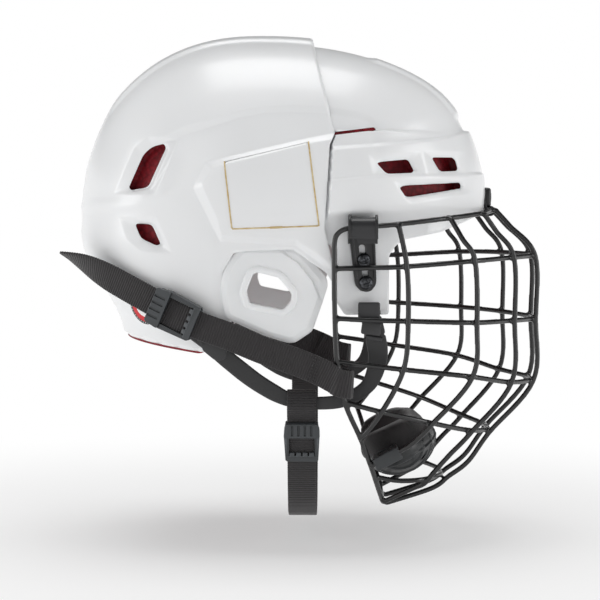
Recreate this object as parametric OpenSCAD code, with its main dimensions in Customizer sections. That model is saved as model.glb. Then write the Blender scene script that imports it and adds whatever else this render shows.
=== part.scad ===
// Ice hockey helmet with a full wire face cage.
// X runs forward out of the face, Y to the wearer's left, Z up. The origin is the head's centre
// at ear height. Lengths are in millimetres.

/* [Shell] */
// Reach of the shell behind its widest section
rear_len = 127.4; // [110:0.2:145]
// Reach of the shell in front of its widest section
front_len = 157; // [135:0.5:175]
// Half of the shell's width
half_w = 102; // [90:0.5:115]
// Height of the crown over the ears
crown_z = 183; // [165:0.5:195]
// Thickness of both plastic shells
shell_t = 2.4; // [1.8:0.1:3.5]
// How far the front shell lies under the rear shell's surface
tuck = 3.9; // [3.4:0.1:5]
// How far the side band stands out of the rear shell
band_rise = 3; // [1.5:0.1:4]
// Squareness of the shell's sections, 2 is an ellipse
squareness = 2.3; // [2:0.05:3]

/* [Liner] */
// Thickness of the foam at the front and back
liner_t = 22; // [14:1:30]
// Thickness of the foam at the sides
liner_side = 13; // [8:1:18]

/* [Cage] */
// Diameter of the cage wire
wire_d = 3.6; // [3:0.1:4.5]
// Half of the width between the rear wires
cage_half = 104; // [98:0.5:112]
// How deep one wire is welded into the wire it crosses
weld = 0.5; // [0.2:0.1:0.9]
// Radial clearance of the forehead clip round the top wire
hinge_gap = 0.08; // [0.03:0.01:0.1]

/* [Straps] */
// Width of the webbing
strap_w = 19.5; // [15:0.5:25]
// Thickness of the webbing
strap_t = 1.8; // [1.2:0.1:2.5]
// Lowest point of the chin strap under the ears
chin_drop = 149; // [120:1:170]

/* [Hidden] */
wire_r = wire_d / 2;
mid_x = -15;
low_z = 60;
brow_z = 75;
hinge_x = 145;
hinge_z = 63;
run_mid = [83.4, -89];
run_lean = 21.3;
cup_lean = 28;

WHITE = [0.89, 0.9, 0.91];
MILK = [0.84, 0.85, 0.84];
RED = [0.62, 0.08, 0.12];
BLACK = [0.1, 0.1, 0.1];
GREY = [0.22, 0.23, 0.24];
STEEL = [0.3, 0.3, 0.31];

// ---- shape helpers ----

function unit(v) = v / norm(v);
function fade(u) = pow(max(0, 1 - pow(min(1, u), squareness)), 1 / squareness);
function ease(t) = let (c = min(1, max(0, t))) c * c * (3 - 2 * c);
function bend(v, e) = sign(v) * pow(abs(v), e);

// A smooth curve through hand-set points, with n steps between neighbours.
function knot(p, i) = p[max(0, min(len(p) - 1, i))];
function between(a, b, c, d, t) =
  0.5 * (2 * b + (c - a) * t + (2 * a - 5 * b + 4 * c - d) * t * t
         + (3 * b - a - 3 * c + d) * t * t * t);
function curve(p, n) = concat(
  [for (i = [0 : len(p) - 2]) for (k = [0 : n - 1])
    between(knot(p, i - 1), p[i], p[i + 1], knot(p, i + 2), k / n)],
  [p[len(p) - 1]]
);
function flip(p) = [for (i = [len(p) - 1 : -1 : 0]) [p[i][0], -p[i][1], p[i][2]]];
function across(p, middle = []) = concat(p, middle, flip(p));
function near(p, s) = [for (q = p) [q[0], s * q[1], q[2]]];

// Sections for a sweep: a round wire, and a flat strip w wide and t thick.
function round_section(r, n) = [for (i = [0 : n - 1]) r * [cos(360 * i / n), sin(360 * i / n)]];
function flat_section(w, t) = [[-w / 2, -t / 2], [w / 2, -t / 2], [w / 2, t / 2], [-w / 2, t / 2]];

// A closed solid made by carrying a section along a path. wide[i] is the direction that the
// section's first axis keeps to at point i; one direction may serve for the whole path.
module sweep(path, section, wide) {
  n = len(path);
  m = len(section);
  function tangent(i) = unit(path[min(n - 1, i + 1)] - path[max(0, i - 1)]);
  function side(i) =
    let (t = tangent(i), w = is_num(wide[0]) ? wide : wide[i]) unit(w - (w * t) * t);
  points = [for (i = [0 : n - 1]) for (s = section)
    path[i] + s[0] * side(i) + s[1] * cross(side(i), tangent(i))];
  walls = [for (i = [0 : n - 2]) for (k = [0 : m - 1])
    let (a = i * m + k, b = i * m + (k + 1) % m) each [[a, b, a + m], [b, b + m, a + m]]];
  first = [for (k = [m - 1 : -1 : 0]) k];
  last = [for (k = [0 : m - 1]) (n - 1) * m + k];
  polyhedron(points, concat(walls, [first, last]), convexity = 8);
}

// Wire in a gentle path that never runs along Z for its whole length.
module wire(path, wide) {
  sweep(path, round_section(wire_r, 8), wide);
}

// ---- the head form ----

// How much shorter the rear and the front are than a plain superellipse, by height.
rear_trim = [[30, 0], [60, 2], [90, 2.3], [107, 3.6], [130, 4.2], [152, 6.8], [170, 8], [183, 9]];
front_trim = [[-34, 2.8], [88, 3], [100, 4], [130, 3.8], [148, 1.2], [158, 3], [170, 6], [183, 7]];

// Half sizes of the horizontal section at height z of a surface that lies in by [rear, front,
// side, crown] from the rear shell's surface.
function dome_x(z, in, c) = let (
    rear = (rear_len - in[0]) * fade(max(0, z - low_z) / (crown_z - in[3] - low_z)),
    nape = 31 * ease((50 - z) / 75),
    front = (front_len - in[1]) * fade(max(0, z - brow_z) / (crown_z - in[3] - brow_z))
  ) c > 0 ? front - lookup(z, front_trim) * front / front_len
    : rear - nape - lookup(z, rear_trim) * rear / rear_len;
function dome_y(z, in) =
  (half_w - in[2]) * fade(max(0, z - low_z) / (crown_z - in[3] - low_z)) - 5 * ease((45 - z) / 75);
function dome_point(z, in, a) = let (e = 2 / squareness) [
    mid_x + dome_x(z, in, cos(a)) * bend(cos(a), e), dome_y(z, in) * bend(sin(a), e), z
  ];
// Heights of the sections from the rim to the crown, closer together near the crown.
function dome_heights(in) = concat(
  [-34, -20, -5, 10, 25, 40, 50],
  [for (i = [0 : 9]) low_z + (crown_z - in[3] - low_z) * sin(9.9 * i)],
  [crown_z - in[3] - 0.05]
);

// The closed space between two such surfaces, open at the rim.
module dome(out, in) {
  n = 44;
  zo = dome_heights(out);
  zi = dome_heights(in);
  h = len(zo);
  function ring(i, k) = i * n + k % n;
  outer = [for (i = [0 : h - 1]) for (k = [0 : n - 1]) dome_point(zo[i], out, 360 * k / n)];
  inner = [for (i = [0 : h - 1]) for (k = [0 : n - 1]) dome_point(zi[i], in, 360 * k / n)];
  s = h * n;
  skin = [for (i = [0 : h - 2]) for (k = [0 : n - 1])
    let (a = ring(i, k), b = ring(i, k + 1), c = ring(i + 1, k), d = ring(i + 1, k + 1))
    each [[a, c, b], [b, c, d], [s + a, s + b, s + c], [s + b, s + d, s + c]]];
  rim = [for (k = [0 : n - 1]) let (a = ring(0, k), b = ring(0, k + 1))
    each [[a, b, s + a], [b, s + b, s + a]]];
  top = [for (k = [n - 1 : -1 : 0]) ring(h - 1, k)];
  roof = [for (k = [0 : n - 1]) s + ring(h - 1, k)];
  polyhedron(concat(outer, inner), concat(skin, rim, [top, roof]), convexity = 10);
}

// A side-view outline in X and Z, cut right through both sides or through one of them.
module side_cut(outline, side = 0, from = 0, to = 140) {
  lo = side == 0 ? -to : side > 0 ? from : -to;
  hi = side == 0 ? to : side > 0 ? to : -from;
  translate([0, hi, 0])
    rotate([90, 0, 0])
      linear_extrude(hi - lo)
        polygon(outline);
}

// ---- outlines in the side view ----

rear_outline = [
  [-170, 200], [20, 200], [20.5, 184], [36.5, 116], [33, 108], [29.5, 54], [35, 30], [35, 17],
  [31, 24], [9, 39], [-30, 37], [-37, 24], [-31, -6], [-40, -28], [-52, -29], [-115, -20.5],
  [-170, -20.5]
];
rear_foam = [
  [-170, 200], [-2, 200], [-2, 48], [-38, 46], [-48, 24], [-46, -26], [-52, -30.5],
  [-115, -22.3], [-170, -22.3]
];
front_outline = [
  [2, 200], [9, 112], [9, 54], [37, 40], [37, 5], [43, -4.3], [72.5, -4.6], [72.5, 35],
  [77, 41.5], [83, 45.5], [108, 50], [139.6, 62], [170, 62], [170, 200]
];
front_foam = [
  [3, 200], [3, 60], [38, 42], [42, 2], [48, -2], [69, -2], [70, 37], [76, 45], [83, 49],
  [108, 53.5], [138, 66], [170, 66], [170, 200]
];
band_outline = [
  [-57, 80], [-49, 97], [19, 113], [45, 118], [45, 42.5], [10, 42.5], [-39, 44.5]
];
latch_outline = [[-36, 97], [-31, 53], [26, 55], [19, 110]];
cover_outline = [
  [-24.5, 41.5], [-32, 34], [-37, 25], [-39, 16], [-38.6, 6], [-36, -6], [-9, -18], [5, -22.3],
  [10, -22.3], [21.8, -14.5], [28.6, 5], [32, 16], [31, 21], [19, 35], [11, 41.5]
];
ear_hole = [
  [-17.5, 23], [-14, 24.3], [-0.5, 21], [8, 10.5], [7.3, 5], [2.4, 0], [-19.6, 4.4], [-21.7, 12]
];
vents_rear = [
  [[-85, 107], [-77, 109], [-75.6, 106], [-87.6, 80], [-99.5, 78], [-101, 80], [-91, 102]],
  [[-97, 56], [-85, 55.5], [-79, 42.5], [-82, 41.5], [-92.5, 46]]
];
vents_front = [
  [[37, 116.5], [62.5, 120], [64, 118], [37, 114.5]],
  [[64, 96], [67, 97], [85, 98.7], [89, 91], [87.6, 89.6], [70.4, 89]],
  [[101, 100], [116, 100], [118, 98], [120, 91], [107, 90.4]],
  [[79, 80], [82.6, 81.3], [120.7, 83], [121.8, 81], [121.4, 79], [86.3, 73.7], [83, 74]]
];

// ---- rear half ----

module rear_shell() {
  t = shell_t;
  r = band_rise;
  color(WHITE) difference() {
    intersection() {
      union() {
        dome([0, 0, 0, 0], [t, t, t, t]);
        intersection() {
          dome([-r, -r, -r, 0], [1.2, 1.2, 1.2, 1.2]);
          difference() {
            side_cut(band_outline);
            side_cut(latch_outline);
          }
        }
      }
      side_cut(rear_outline);
    }
    for (v = vents_rear)
      side_cut(v);
  }
}

module rear_liner() {
  g = shell_t + 0.3;
  color(RED) intersection() {
    dome([g, g, g, g], [g + liner_t, g + liner_t + 20, g + liner_side, g + liner_t]);
    side_cut(rear_foam);
  }
}

module ear_cover(s) {
  color(MILK) difference() {
    union() {
      side_cut(cover_outline, s, 96.5, 101.5);
      intersection() {
        side_cut([for (p = ear_hole) [-7, 12] + 1.3 * (p - [-7, 12])], s, 99, 102.8);
        side_cut(cover_outline, s, 96.5, 104);
      }
    }
    side_cut(ear_hole, s, 90, 110);
  }
}
module ear_cover_right() { ear_cover(-1); }
module ear_cover_left() { ear_cover(1); }

module size_label() {
  color([0.8, 0.1, 0.12])
    translate([-91.2, -73.2, 0.2])
      rotate([107.5, 0, -38.7])
        cylinder(r = 13.5, h = 2.4, center = true, $fn = 48);
}

// Soft plastic loop under the ear that carries the chin strap.
module ear_loop(s) {
  path = curve(near([
      [59, 96.5, 3], [60.5, 96, -6], [63.5, 92, -19], [65, 88.5, -34], [59, 87, -51],
      [44, 86.5, -61], [26, 86.5, -63.5], [7, 86.5, -61.5], [-13, 87.5, -51], [-31, 91, -37],
      [-43, 94.5, -26], [-52, 94.5, -15]
    ], s), 3);
  color(GREY) union() {
    sweep(path, flat_section(4, 8.5), [0, 1, 0]);
    translate([59, s * 96.7, -2])
      cube([14, 4, 14], center = true);
    translate([-53, s * 94, -16])
      rotate([0, 35, s * 14])
        cube([20, 3, 15], center = true);
  }
}
module ear_loop_right() { ear_loop(-1); }
module ear_loop_left() { ear_loop(1); }

// Webbing that hangs in a U between the loops, each end folded round its loop and sewn. The run
// that the buckle slides on is straight and leans in by run_lean.
module chin_strap() {
  fold = [[84.6, -74.4], [83.2, -69.5], [82.8, -62.5], [83.3, -57.5], [86.4, -55.2], [90, -57.2]];
  run = [for (k = [-4 : 4]) run_mid + k * 6.5 * [-sin(run_lean), -cos(run_lean)]];
  sag = [[66.5, -126.5], [57, -137], [44, -144], [22, -148.4]];
  half = concat(fold, run, sag);
  color(BLACK)
    sweep(
      curve(across([for (q = half) [14.5, q[0], q[1]]], [[14.5, 0, -chin_drop]]), 3),
      flat_section(strap_w, strap_t), [1, 0, 0]
    );
}

module buckle_body(l, w, t, gap) {
  difference() {
    union() {
      cube([l, w, t], center = true);
      translate([-l / 2 + 4.5, 0, t / 2])
        rotate([90, 0, 0])
          cylinder(r = 2.2, h = w, center = true, $fn = 24);
    }
    cube([l + 2, strap_w + 1, gap], center = true);
    translate([2, 0, t / 2])
      cube([l - 15, strap_w - 2, t], center = true);
  }
}

module chin_buckle() {
  color(GREY)
    translate([14.5, -run_mid[0], run_mid[1]])
      rotate([run_lean, 0, 0])
        rotate([0, 90, 90])
          buckle_body(28, 24.5, 6, strap_t + 1);
}

// Plate in the side band that lifts on its top edge to free the size adjustment.
module latch(s) {
  inset = [for (p = latch_outline) [-5, 79] + 0.982 * (p - [-5, 79])];
  color(WHITE) intersection() {
    dome([-band_rise, -band_rise, -band_rise, 0], [-0.5, -0.5, -0.5, 1]);
    side_cut(inset, s, 60, 140);
  }
}
module latch_right() { latch(-1); }
module latch_left() { latch(1); }

// ---- front half ----

module front_shell() {
  t = tuck;
  color(WHITE) difference() {
    intersection() {
      dome([t, 0, t, t], [t + shell_t, shell_t, t + shell_t, t + shell_t]);
      side_cut(front_outline);
    }
    for (v = vents_front)
      side_cut(v);
  }
}

module front_liner() {
  g = tuck + shell_t + 0.3;
  color(RED) intersection() {
    dome(
      [g, shell_t + 0.3, g, g],
      [g + liner_t, shell_t + liner_t, g + liner_side, g + liner_t - 4]
    );
    side_cut(front_foam);
  }
}

// Folded loop that holds the cage's top wire at the middle of the brow.
module forehead_clip() {
  color(BLACK) difference() {
    union() {
      translate([140.6, 0, 74])
        cube([5.2, 22, 18], center = true);
      translate([hinge_x, 0, hinge_z])
        rotate([90, 0, 0])
          cylinder(r = wire_r + 1.9, h = 22, center = true, $fn = 40);
    }
    translate([hinge_x, 0, hinge_z])
      rotate([90, 0, 0])
        cylinder(r = wire_r + hinge_gap, h = 30, center = true, $fn = 40);
  }
}

// Plate with a hook over the cheek wire. The hook is open below.
module j_clip(s) {
  color(BLACK) difference() {
    union() {
      translate([55.5, s * 92.6, 36])
        rotate([0, 0, s * -14.5])
          cube([16.5, 3, 48], center = true);
      translate([55.5, s * 101.5, 59.5])
        cube([17, 15, 5], center = true);
      translate([55.5, s * 108, 52.5])
        cube([17, 2.4, 17], center = true);
    }
    for (z = [17, 32])
      translate([55.5, s * 94, z])
        rotate([90, 0, 0])
          cylinder(r = 2.4, h = 12, center = true, $fn = 24);
  }
}
module j_clip_right() { j_clip(-1); }
module j_clip_left() { j_clip(1); }

module screw(s, z) {
  color(STEEL)
    translate([55.5, s * 92.6, z])
      rotate([0, 0, s * -14.5])
        rotate([-90 * s, 0, 0])
          difference() {
            union() {
              translate([0, 0, 1.2])
                cylinder(r = 4.6, h = 2.2, $fn = 32);
              translate([0, 0, -4])
                cylinder(r = 2.1, h = 6, $fn = 24);
            }
            for (a = [0, 90])
              rotate([0, 0, a])
                translate([0, 0, 3])
                  cube([5, 1.1, 1.6], center = true);
          }
}
module screw_upper_right() { screw(-1, 32); }
module screw_lower_right() { screw(-1, 17); }
module screw_upper_left() { screw(1, 32); }
module screw_lower_left() { screw(1, 17); }

// ---- cage ----

// Right half of the frame, from the brow hinge round the cheek to the middle of the chin.
frame_half = [
  [hinge_x, 12, hinge_z], [144, 24, 63.2], [135.5, 51, 62], [112.5, 77, 59.5], [79, 95, 56],
  [60, 101.5, 54.5], [46, 104, 53.6], [39.5, 104, 51], [36.3, 104, 45], [36, 104, 27],
  [36.5, 104, -5.6], [38, 104, -34], [43, 102.5, -61], [54, 91, -87.5], [61.5, 68, -110],
  [66, 51, -125], [69, 38, -135], [70, 26, -138.5], [70, 0, -139.5]
];

module cage_frame() {
  path = curve(frame_half, 3);
  color(BLACK) union() {
    wire(concat(path, [for (i = [len(path) - 2 : -1 : 0]) near([path[i]], -1)[0]]), [1, 0.3, 0.2]);
    translate([hinge_x, 0, hinge_z])
      rotate([90, 0, 0])
        cylinder(r = wire_r, h = 25, center = true, $fn = 32);
  }
}

// One wire round the face at eye, cheek or mouth height, from its rear end to the middle.
module face_bar(half) {
  full = concat(half, flip([for (i = [0 : len(half) - 2]) half[i]]));
  color(BLACK)
    wire(curve(full, 3), [0, 0, 1]);
}
module bar_eye() {
  face_bar([[36, 104, 27], [60, 102, 27.5], [83, 96, 28], [128, 81.5, 31], [156, 49, 32],
            [173, 18, 32], [175, 0, 32]]);
}
module bar_cheek() {
  face_bar([[36.5, 104, -5.6], [60, 102, -7], [84, 96, -8], [128, 81.5, -10], [156.5, 49, -11],
            [173.5, 18, -12], [175.5, 0, -12]]);
}
module bar_mouth() {
  face_bar([[38, 104, -34], [60, 101.5, -37], [81, 96, -40], [126, 81.5, -46], [155, 49, -53],
            [172.5, 18, -55], [174.5, 0, -55]]);
}
module bar_jaw() {
  face_bar([[43, 102.5, -61], [65, 97, -67.6], [99, 80, -77], [127, 49, -86], [142.5, 18, -89.5],
            [144, 0, -89.5]]);
}
module bar_chin() {
  face_bar([[63.9, 58, -117], [80, 53, -120.5], [97, 47, -120.5], [110, 18, -121.5],
            [111, 0, -121.5]]);
}

// Wires that run from the brow down over the face bars, welded where they cross.
module upright(path) {
  color(BLACK)
    wire(curve(path, 2), [0.1, 1, 0.05]);
}
function upright_1(s) = near([
  [78, 97.4, 56.8], [83.8, 98.6, 28], [84.8, 98.8, -8], [81.8, 98.8, -40], [66.5, 98.8, -69.5],
  [53.5, 94, -86.5]], s);
function upright_2(s) = near([
  [112.8, 79.8, 60.4], [121, 84, 46], [129.6, 84, 31], [131, 83.9, -10], [128.4, 83.7, -46],
  [100.6, 82.3, -79], [92, 79, -88.5], [86, 77, -93.6], [75, 75, -99.9], [59.5, 74.7, -108.2]], s);
function upright_3(s) = near([
  [136.6, 52.9, 63.4], [146, 51.5, 50], [158.3, 50.8, 32], [159, 50.8, -11], [157.2, 50.8, -53],
  [129.5, 50, -88], [114.8, 50, -103.5], [104, 48.5, -116], [98, 46.5, -123.5],
  [90, 43, -127.5], [69.2, 38.3, -138]], s);
function upright_4(s) = near([
  [146.6, 18.5, 65.4], [158, 18, 53], [175.9, 18.3, 32], [176.5, 18.3, -12], [175.2, 18.3, -55],
  [144.7, 18, -91.5], [130, 18, -112], [116, 18, -122.8], [109, 18, -128.7], [98, 18, -133.5],
  [71, 18, -142]], s);
module upright_1_right() { upright(upright_1(-1)); }
module upright_2_right() { upright(upright_2(-1)); }
module upright_3_right() { upright(upright_3(-1)); }
module upright_4_right() { upright(upright_4(-1)); }
module upright_1_left() { upright(upright_1(1)); }
module upright_2_left() { upright(upright_2(1)); }
module upright_3_left() { upright(upright_3(1)); }
module upright_4_left() { upright(upright_4(1)); }

// Frame of the chin cup: its rim lies in the X-Y plane and it hollows downward.
module at_cup() {
  translate([82.5, 0, -100])
    rotate([0, -cup_lean, 0])
      children();
}
module bowl(x, y, z) {
  scale([x, y, z])
    sphere(r = 1, $fn = 40);
}

module chin_cup() {
  color(GREY) at_cup() difference() {
    bowl(26, 56, 21);
    bowl(23.4, 53.4, 18.4);
    translate([0, 0, 25])
      cube([80, 140, 50], center = true);
  }
}

// A thick cushion that fills the cup, stands high above its rim and is hollowed for the chin.
module chin_pad() {
  side = [[-28, 0.4], [-28, 8], [-22, 18], [-16, 20.5], [5, 19], [19, 14.5], [23, 6], [23, 0.4]];
  color(BLACK) at_cup() difference() {
    union() {
      intersection() {
        bowl(23.1, 53.1, 18.1);
        translate([0, 0, -24.5])
          cube([80, 140, 50], center = true);
      }
      intersection() {
        side_cut(side, 0, 0, 60);
        translate([-3, 0, 0])
          scale([27, 54, 1])
            cylinder(r = 1, h = 30, $fn = 48);
      }
    }
    translate([-8, 0, 26])
      bowl(24, 40, 22);
  }
}

module cup_clip(s) {
  color(GREY)
    translate([72, s * 62.3, -102.4])
      rotate([0, -cup_lean, 0])
        cube([18, 30.5, 8.5], center = true);
}
module cup_clip_right() { cup_clip(-1); }
module cup_clip_left() { cup_clip(1); }

// ---- cage straps ----

// Webbing from a sewn eye on the cage's rear wire back to the buckle and on to its free tail.
function strap_path(s) = near([
  [48, 105, -49], [46, 109, -49], [39, 110, -47.5], [34, 107.5, -44.6], [25, 105, -40],
  [10, 104, -33.4], [-12, 104, -25.5], [-32, 104.4, -17.5], [-52, 103, -10], [-70, 98.7, -3],
  [-86, 92.6, 5.5], [-102, 84.3, 13.5], [-118, 75, 21.5], [-132, 66.8, 28], [-146, 60.5, 33.5]
], s);

module cage_strap(s) {
  path = curve(strap_path(s), 2);
  back = curve(near([[48, 105, -49], [46, 99, -49], [40, 98.5, -47.7], [34, 101.5, -44.6],
                     [25, 103, -40]], s), 2);
  n = len(path);
  // Upright at the eye, square to the strap on its way back, and turned nearly flat at its tip.
  function twist(i) = lookup(i, [[20, 0], [23, 8], [25.4, 40], [27.1, 66], [n - 1, 80]]);
  wide = [for (i = [0 : n - 1]) let (a = twist(i), lean = i < 8 ? 0.05 : 0.3)
    [lean * cos(a), s * sin(a), cos(a)]];
  color(BLACK) union() {
    sweep(path, flat_section(strap_w, strap_t), wide);
    sweep(back, flat_section(strap_w, strap_t), [0.05, 0, 1]);
  }
}
module cage_strap_right() { cage_strap(-1); }
module cage_strap_left() { cage_strap(1); }

module cage_buckle(s) {
  color(GREY)
    translate([-70, s * 98.9, -3])
      rotate([0, 24, s * 17])
        rotate([90 * -s, 0, 0])
          buckle_body(36, 26, 6, strap_t + 1);
}
module cage_buckle_right() { cage_buckle(-1); }
module cage_buckle_left() { cage_buckle(1); }

rear_shell();
rear_liner();
ear_cover_right();
ear_cover_left();
size_label();
ear_loop_right();
ear_loop_left();
chin_strap();
chin_buckle();
latch_right();
latch_left();
front_shell();
front_liner();
forehead_clip();
j_clip_right();
j_clip_left();
screw_upper_right();
screw_lower_right();
screw_upper_left();
screw_lower_left();
cage_frame();
bar_eye();
bar_cheek();
bar_mouth();
bar_jaw();
bar_chin();
upright_1_right();
upright_2_right();
upright_3_right();
upright_4_right();
upright_1_left();
upright_2_left();
upright_3_left();
upright_4_left();
chin_cup();
chin_pad();
cup_clip_right();
cup_clip_left();
cage_strap_right();
cage_strap_left();
cage_buckle_right();
cage_buckle_left();
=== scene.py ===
# %% [markdown]
# This notebook dresses an ice hockey helmet with a wire face cage. The engineering model comes in
# first and stays as it is. Everything made here takes its places and sizes from that model, rides
# on its moving bodies, and hides the plain CAD pieces that it stands for.

# %% Start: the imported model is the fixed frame
import itertools
import math

import bmesh
import bpy
import numpy as np
from mathutils import Euler, Matrix, Vector


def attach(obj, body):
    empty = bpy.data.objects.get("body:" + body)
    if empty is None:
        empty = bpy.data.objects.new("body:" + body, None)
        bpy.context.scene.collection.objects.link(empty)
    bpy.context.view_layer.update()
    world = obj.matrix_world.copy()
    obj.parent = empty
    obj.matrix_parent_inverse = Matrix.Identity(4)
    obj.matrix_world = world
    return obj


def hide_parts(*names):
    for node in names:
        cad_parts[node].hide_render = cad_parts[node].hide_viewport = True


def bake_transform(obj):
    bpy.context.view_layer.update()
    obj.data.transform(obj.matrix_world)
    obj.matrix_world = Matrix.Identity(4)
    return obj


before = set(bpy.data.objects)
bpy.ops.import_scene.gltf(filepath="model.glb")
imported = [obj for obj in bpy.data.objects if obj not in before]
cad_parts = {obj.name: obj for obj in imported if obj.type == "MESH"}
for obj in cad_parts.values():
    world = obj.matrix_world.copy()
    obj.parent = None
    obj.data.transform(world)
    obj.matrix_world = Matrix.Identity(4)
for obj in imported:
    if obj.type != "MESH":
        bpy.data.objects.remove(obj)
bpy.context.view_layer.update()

MM = 0.001
SIDES = {"right": -1, "left": 1}

# %% [markdown]
# Colours are written the way a paint chart gives them, as sRGB hex. Blender's shaders want linear
# light, so one function turns one into the other. One more adds a shader node with its settings
# and its links, and every material below is a short list of such calls.

# %% Colour and shader helpers
def colour(hex_code):
    parts = [int(hex_code[i:i + 2], 16) / 255 for i in (1, 3, 5)]
    linear = [c / 12.92 if c <= 0.04045 else ((c + 0.055) / 1.055) ** 2.4 for c in parts]
    return (*linear, 1.0)


def add(mat, kind, settings=None, **links):
    """Adds one shader node. settings sets its properties or sockets; links joins its sockets,
    named with underscores or as s0, s1 by number, to (node, output) pairs."""
    node = mat.node_tree.nodes.new(kind)
    for key, value in (settings or {}).items():
        if isinstance(key, str) and hasattr(node, key):
            setattr(node, key, value)
        else:
            node.inputs[key].default_value = value
    for key, source in links.items():
        socket = int(key[1:]) if key[1:].isdigit() else key.replace("_", " ")
        mat.node_tree.links.new(source[0].outputs[source[1]], node.inputs[socket])
    return node


def new_material(name, surface):
    """A material whose Principled shader starts from the values in surface."""
    mat = bpy.data.materials.new(name)
    mat.use_nodes = True
    shader = mat.node_tree.nodes["Principled BSDF"]
    for key, value in surface.items():
        shader.inputs[key].default_value = value
    return mat, shader


def wire_up(mat, source, output, shader, socket):
    mat.node_tree.links.new(source.outputs[output], shader.inputs[socket])


def ramp(mat, source, output, stops):
    """A colour ramp over (position, hex) stops."""
    node = add(mat, "ShaderNodeValToRGB", Fac=(source, output))
    elements = node.color_ramp.elements
    while len(elements) < len(stops):
        elements.new(0.5)
    for element, (place, code) in zip(elements, stops):
        element.position = place
        element.color = colour(code)
    return node


# %% [markdown]
# The shells are moulded in white polypropylene with a polished tool, so they are glossy but a
# little milky. A real shell isn't perfectly even: the gloss varies where hands have wiped it, and
# the surface has a faint orange peel about 2 mm across. The bump is kept to a few hundredths of
# a millimetre so that the reflections only shiver.

# %% White shell plastic
shell_white, shader = new_material("polypropylene_white_gloss", {
    "IOR": 1.49, "Roughness": 0.32, "Coat Weight": 0.3, "Coat Roughness": 0.18,
    "Subsurface Weight": 0.05, "Subsurface Scale": 0.003,
})
shader.inputs["Subsurface Radius"].default_value = (1.0, 0.9, 0.8)
place = add(shell_white, "ShaderNodeTexCoord")
haze = add(shell_white, "ShaderNodeTexNoise", {"Scale": 14.0, "Detail": 2.0}, Vector=(place, "Object"))
tint = ramp(shell_white, haze, "Fac", [(0.25, "#EBECED"), (0.75, "#F0F1F2")])
wire_up(shell_white, tint, "Color", shader, "Base Color")
wiped = add(shell_white, "ShaderNodeMapRange",
            {"From Min": 0.2, "From Max": 0.8, "To Min": 0.29, "To Max": 0.35}, Value=(haze, "Fac"))
wire_up(shell_white, wiped, "Result", shader, "Roughness")
# Orange peel on a moulded shell is about 2 mm from crest to crest.
peel = add(shell_white, "ShaderNodeTexNoise", {"Scale": 480.0, "Detail": 1.0}, Vector=(place, "Object"))
bump = add(shell_white, "ShaderNodeBump", {"Strength": 0.05, "Distance": 0.0002}, Height=(peel, "Fac"))
wire_up(shell_white, bump, "Normal", shader, "Normal")
print("made", shell_white.name)

# %% [markdown]
# The ear covers are moulded in a natural, undyed polycarbonate: milky, slightly greyer than the
# shell, and a little light passes through. A touch of subsurface scattering gives that depth.

# %% Milky ear cover plastic
ear_milky, shader = new_material("polycarbonate_milky", {
    "IOR": 1.58, "Roughness": 0.36, "Coat Weight": 0.15, "Coat Roughness": 0.25,
    "Subsurface Weight": 0.25, "Subsurface Scale": 0.006,
})
shader.inputs["Subsurface Radius"].default_value = (1.0, 0.95, 0.9)
place = add(ear_milky, "ShaderNodeTexCoord")
cloud = add(ear_milky, "ShaderNodeTexNoise", {"Scale": 35.0, "Detail": 3.0}, Vector=(place, "Object"))
tint = ramp(ear_milky, cloud, "Fac", [(0.3, "#E8EAEB"), (0.7, "#EEEFF0")])
wire_up(ear_milky, tint, "Color", shader, "Base Color")
grain = add(ear_milky, "ShaderNodeTexNoise", {"Scale": 900.0, "Detail": 1.0}, Vector=(place, "Object"))
bump = add(ear_milky, "ShaderNodeBump", {"Strength": 0.06, "Distance": 0.0002}, Height=(grain, "Fac"))
wire_up(ear_milky, bump, "Normal", shader, "Normal")
print("made", ear_milky.name)

# %% [markdown]
# The liner is expanded polypropylene: beads of foam steamed together in a mould, dyed dark red.
# The beads show as rounded cells about 3 mm across with a slightly darker line between them. A
# Voronoi texture gives both: its distance for the dimples and for the tone.

# %% Red bead foam
liner_red, shader = new_material("expanded_polypropylene_red", {"IOR": 1.45, "Roughness": 0.62})
place = add(liner_red, "ShaderNodeTexCoord")
beads = add(liner_red, "ShaderNodeTexVoronoi", {"Scale": 330.0}, Vector=(place, "Object"))
tint = ramp(liner_red, beads, "Distance", [(0.1, "#931421"), (0.8, "#690B16")])
wire_up(liner_red, tint, "Color", shader, "Base Color")
bump = add(liner_red, "ShaderNodeBump",
           {"Strength": 0.35, "Distance": 0.0006, "invert": True}, Height=(beads, "Distance"))
wire_up(liner_red, bump, "Normal", shader, "Normal")
print("made", liner_red.name)

# %% [markdown]
# The straps are woven nylon webbing. Its weft makes ribs across the strap about 1.7 mm apart, and
# the yarn makes a much finer grain along it. The ribbon pieces carry their length and width in
# millimetres as UV, so the ribs keep their real pitch whatever the strap's shape.

# %% Black nylon webbing
RIB_PITCH = 1.7
webbing_black, shader = new_material("nylon_webbing_black", {
    "IOR": 1.53, "Roughness": 0.7, "Sheen Weight": 0.25, "Sheen Roughness": 0.5,
})
cloth = add(webbing_black, "ShaderNodeUVMap", {"uv_map": "UVMap"})
split = add(webbing_black, "ShaderNodeSeparateXYZ", Vector=(cloth, "UV"))
turns = add(webbing_black, "ShaderNodeMath", {"operation": "MULTIPLY", 1: 2 * math.pi / RIB_PITCH},
            s0=(split, "X"))
rib = add(webbing_black, "ShaderNodeMath", {"operation": "SINE"}, s0=(turns, 0))
yarn = add(webbing_black, "ShaderNodeMath", {"operation": "MULTIPLY", 1: 2 * math.pi / 0.8},
           s0=(split, "Y"))
warp = add(webbing_black, "ShaderNodeMath", {"operation": "SINE"}, s0=(yarn, 0))
weave = add(webbing_black, "ShaderNodeMath", {"operation": "MULTIPLY_ADD", 1: 0.25},
            s0=(warp, 0), s2=(rib, 0))
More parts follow.
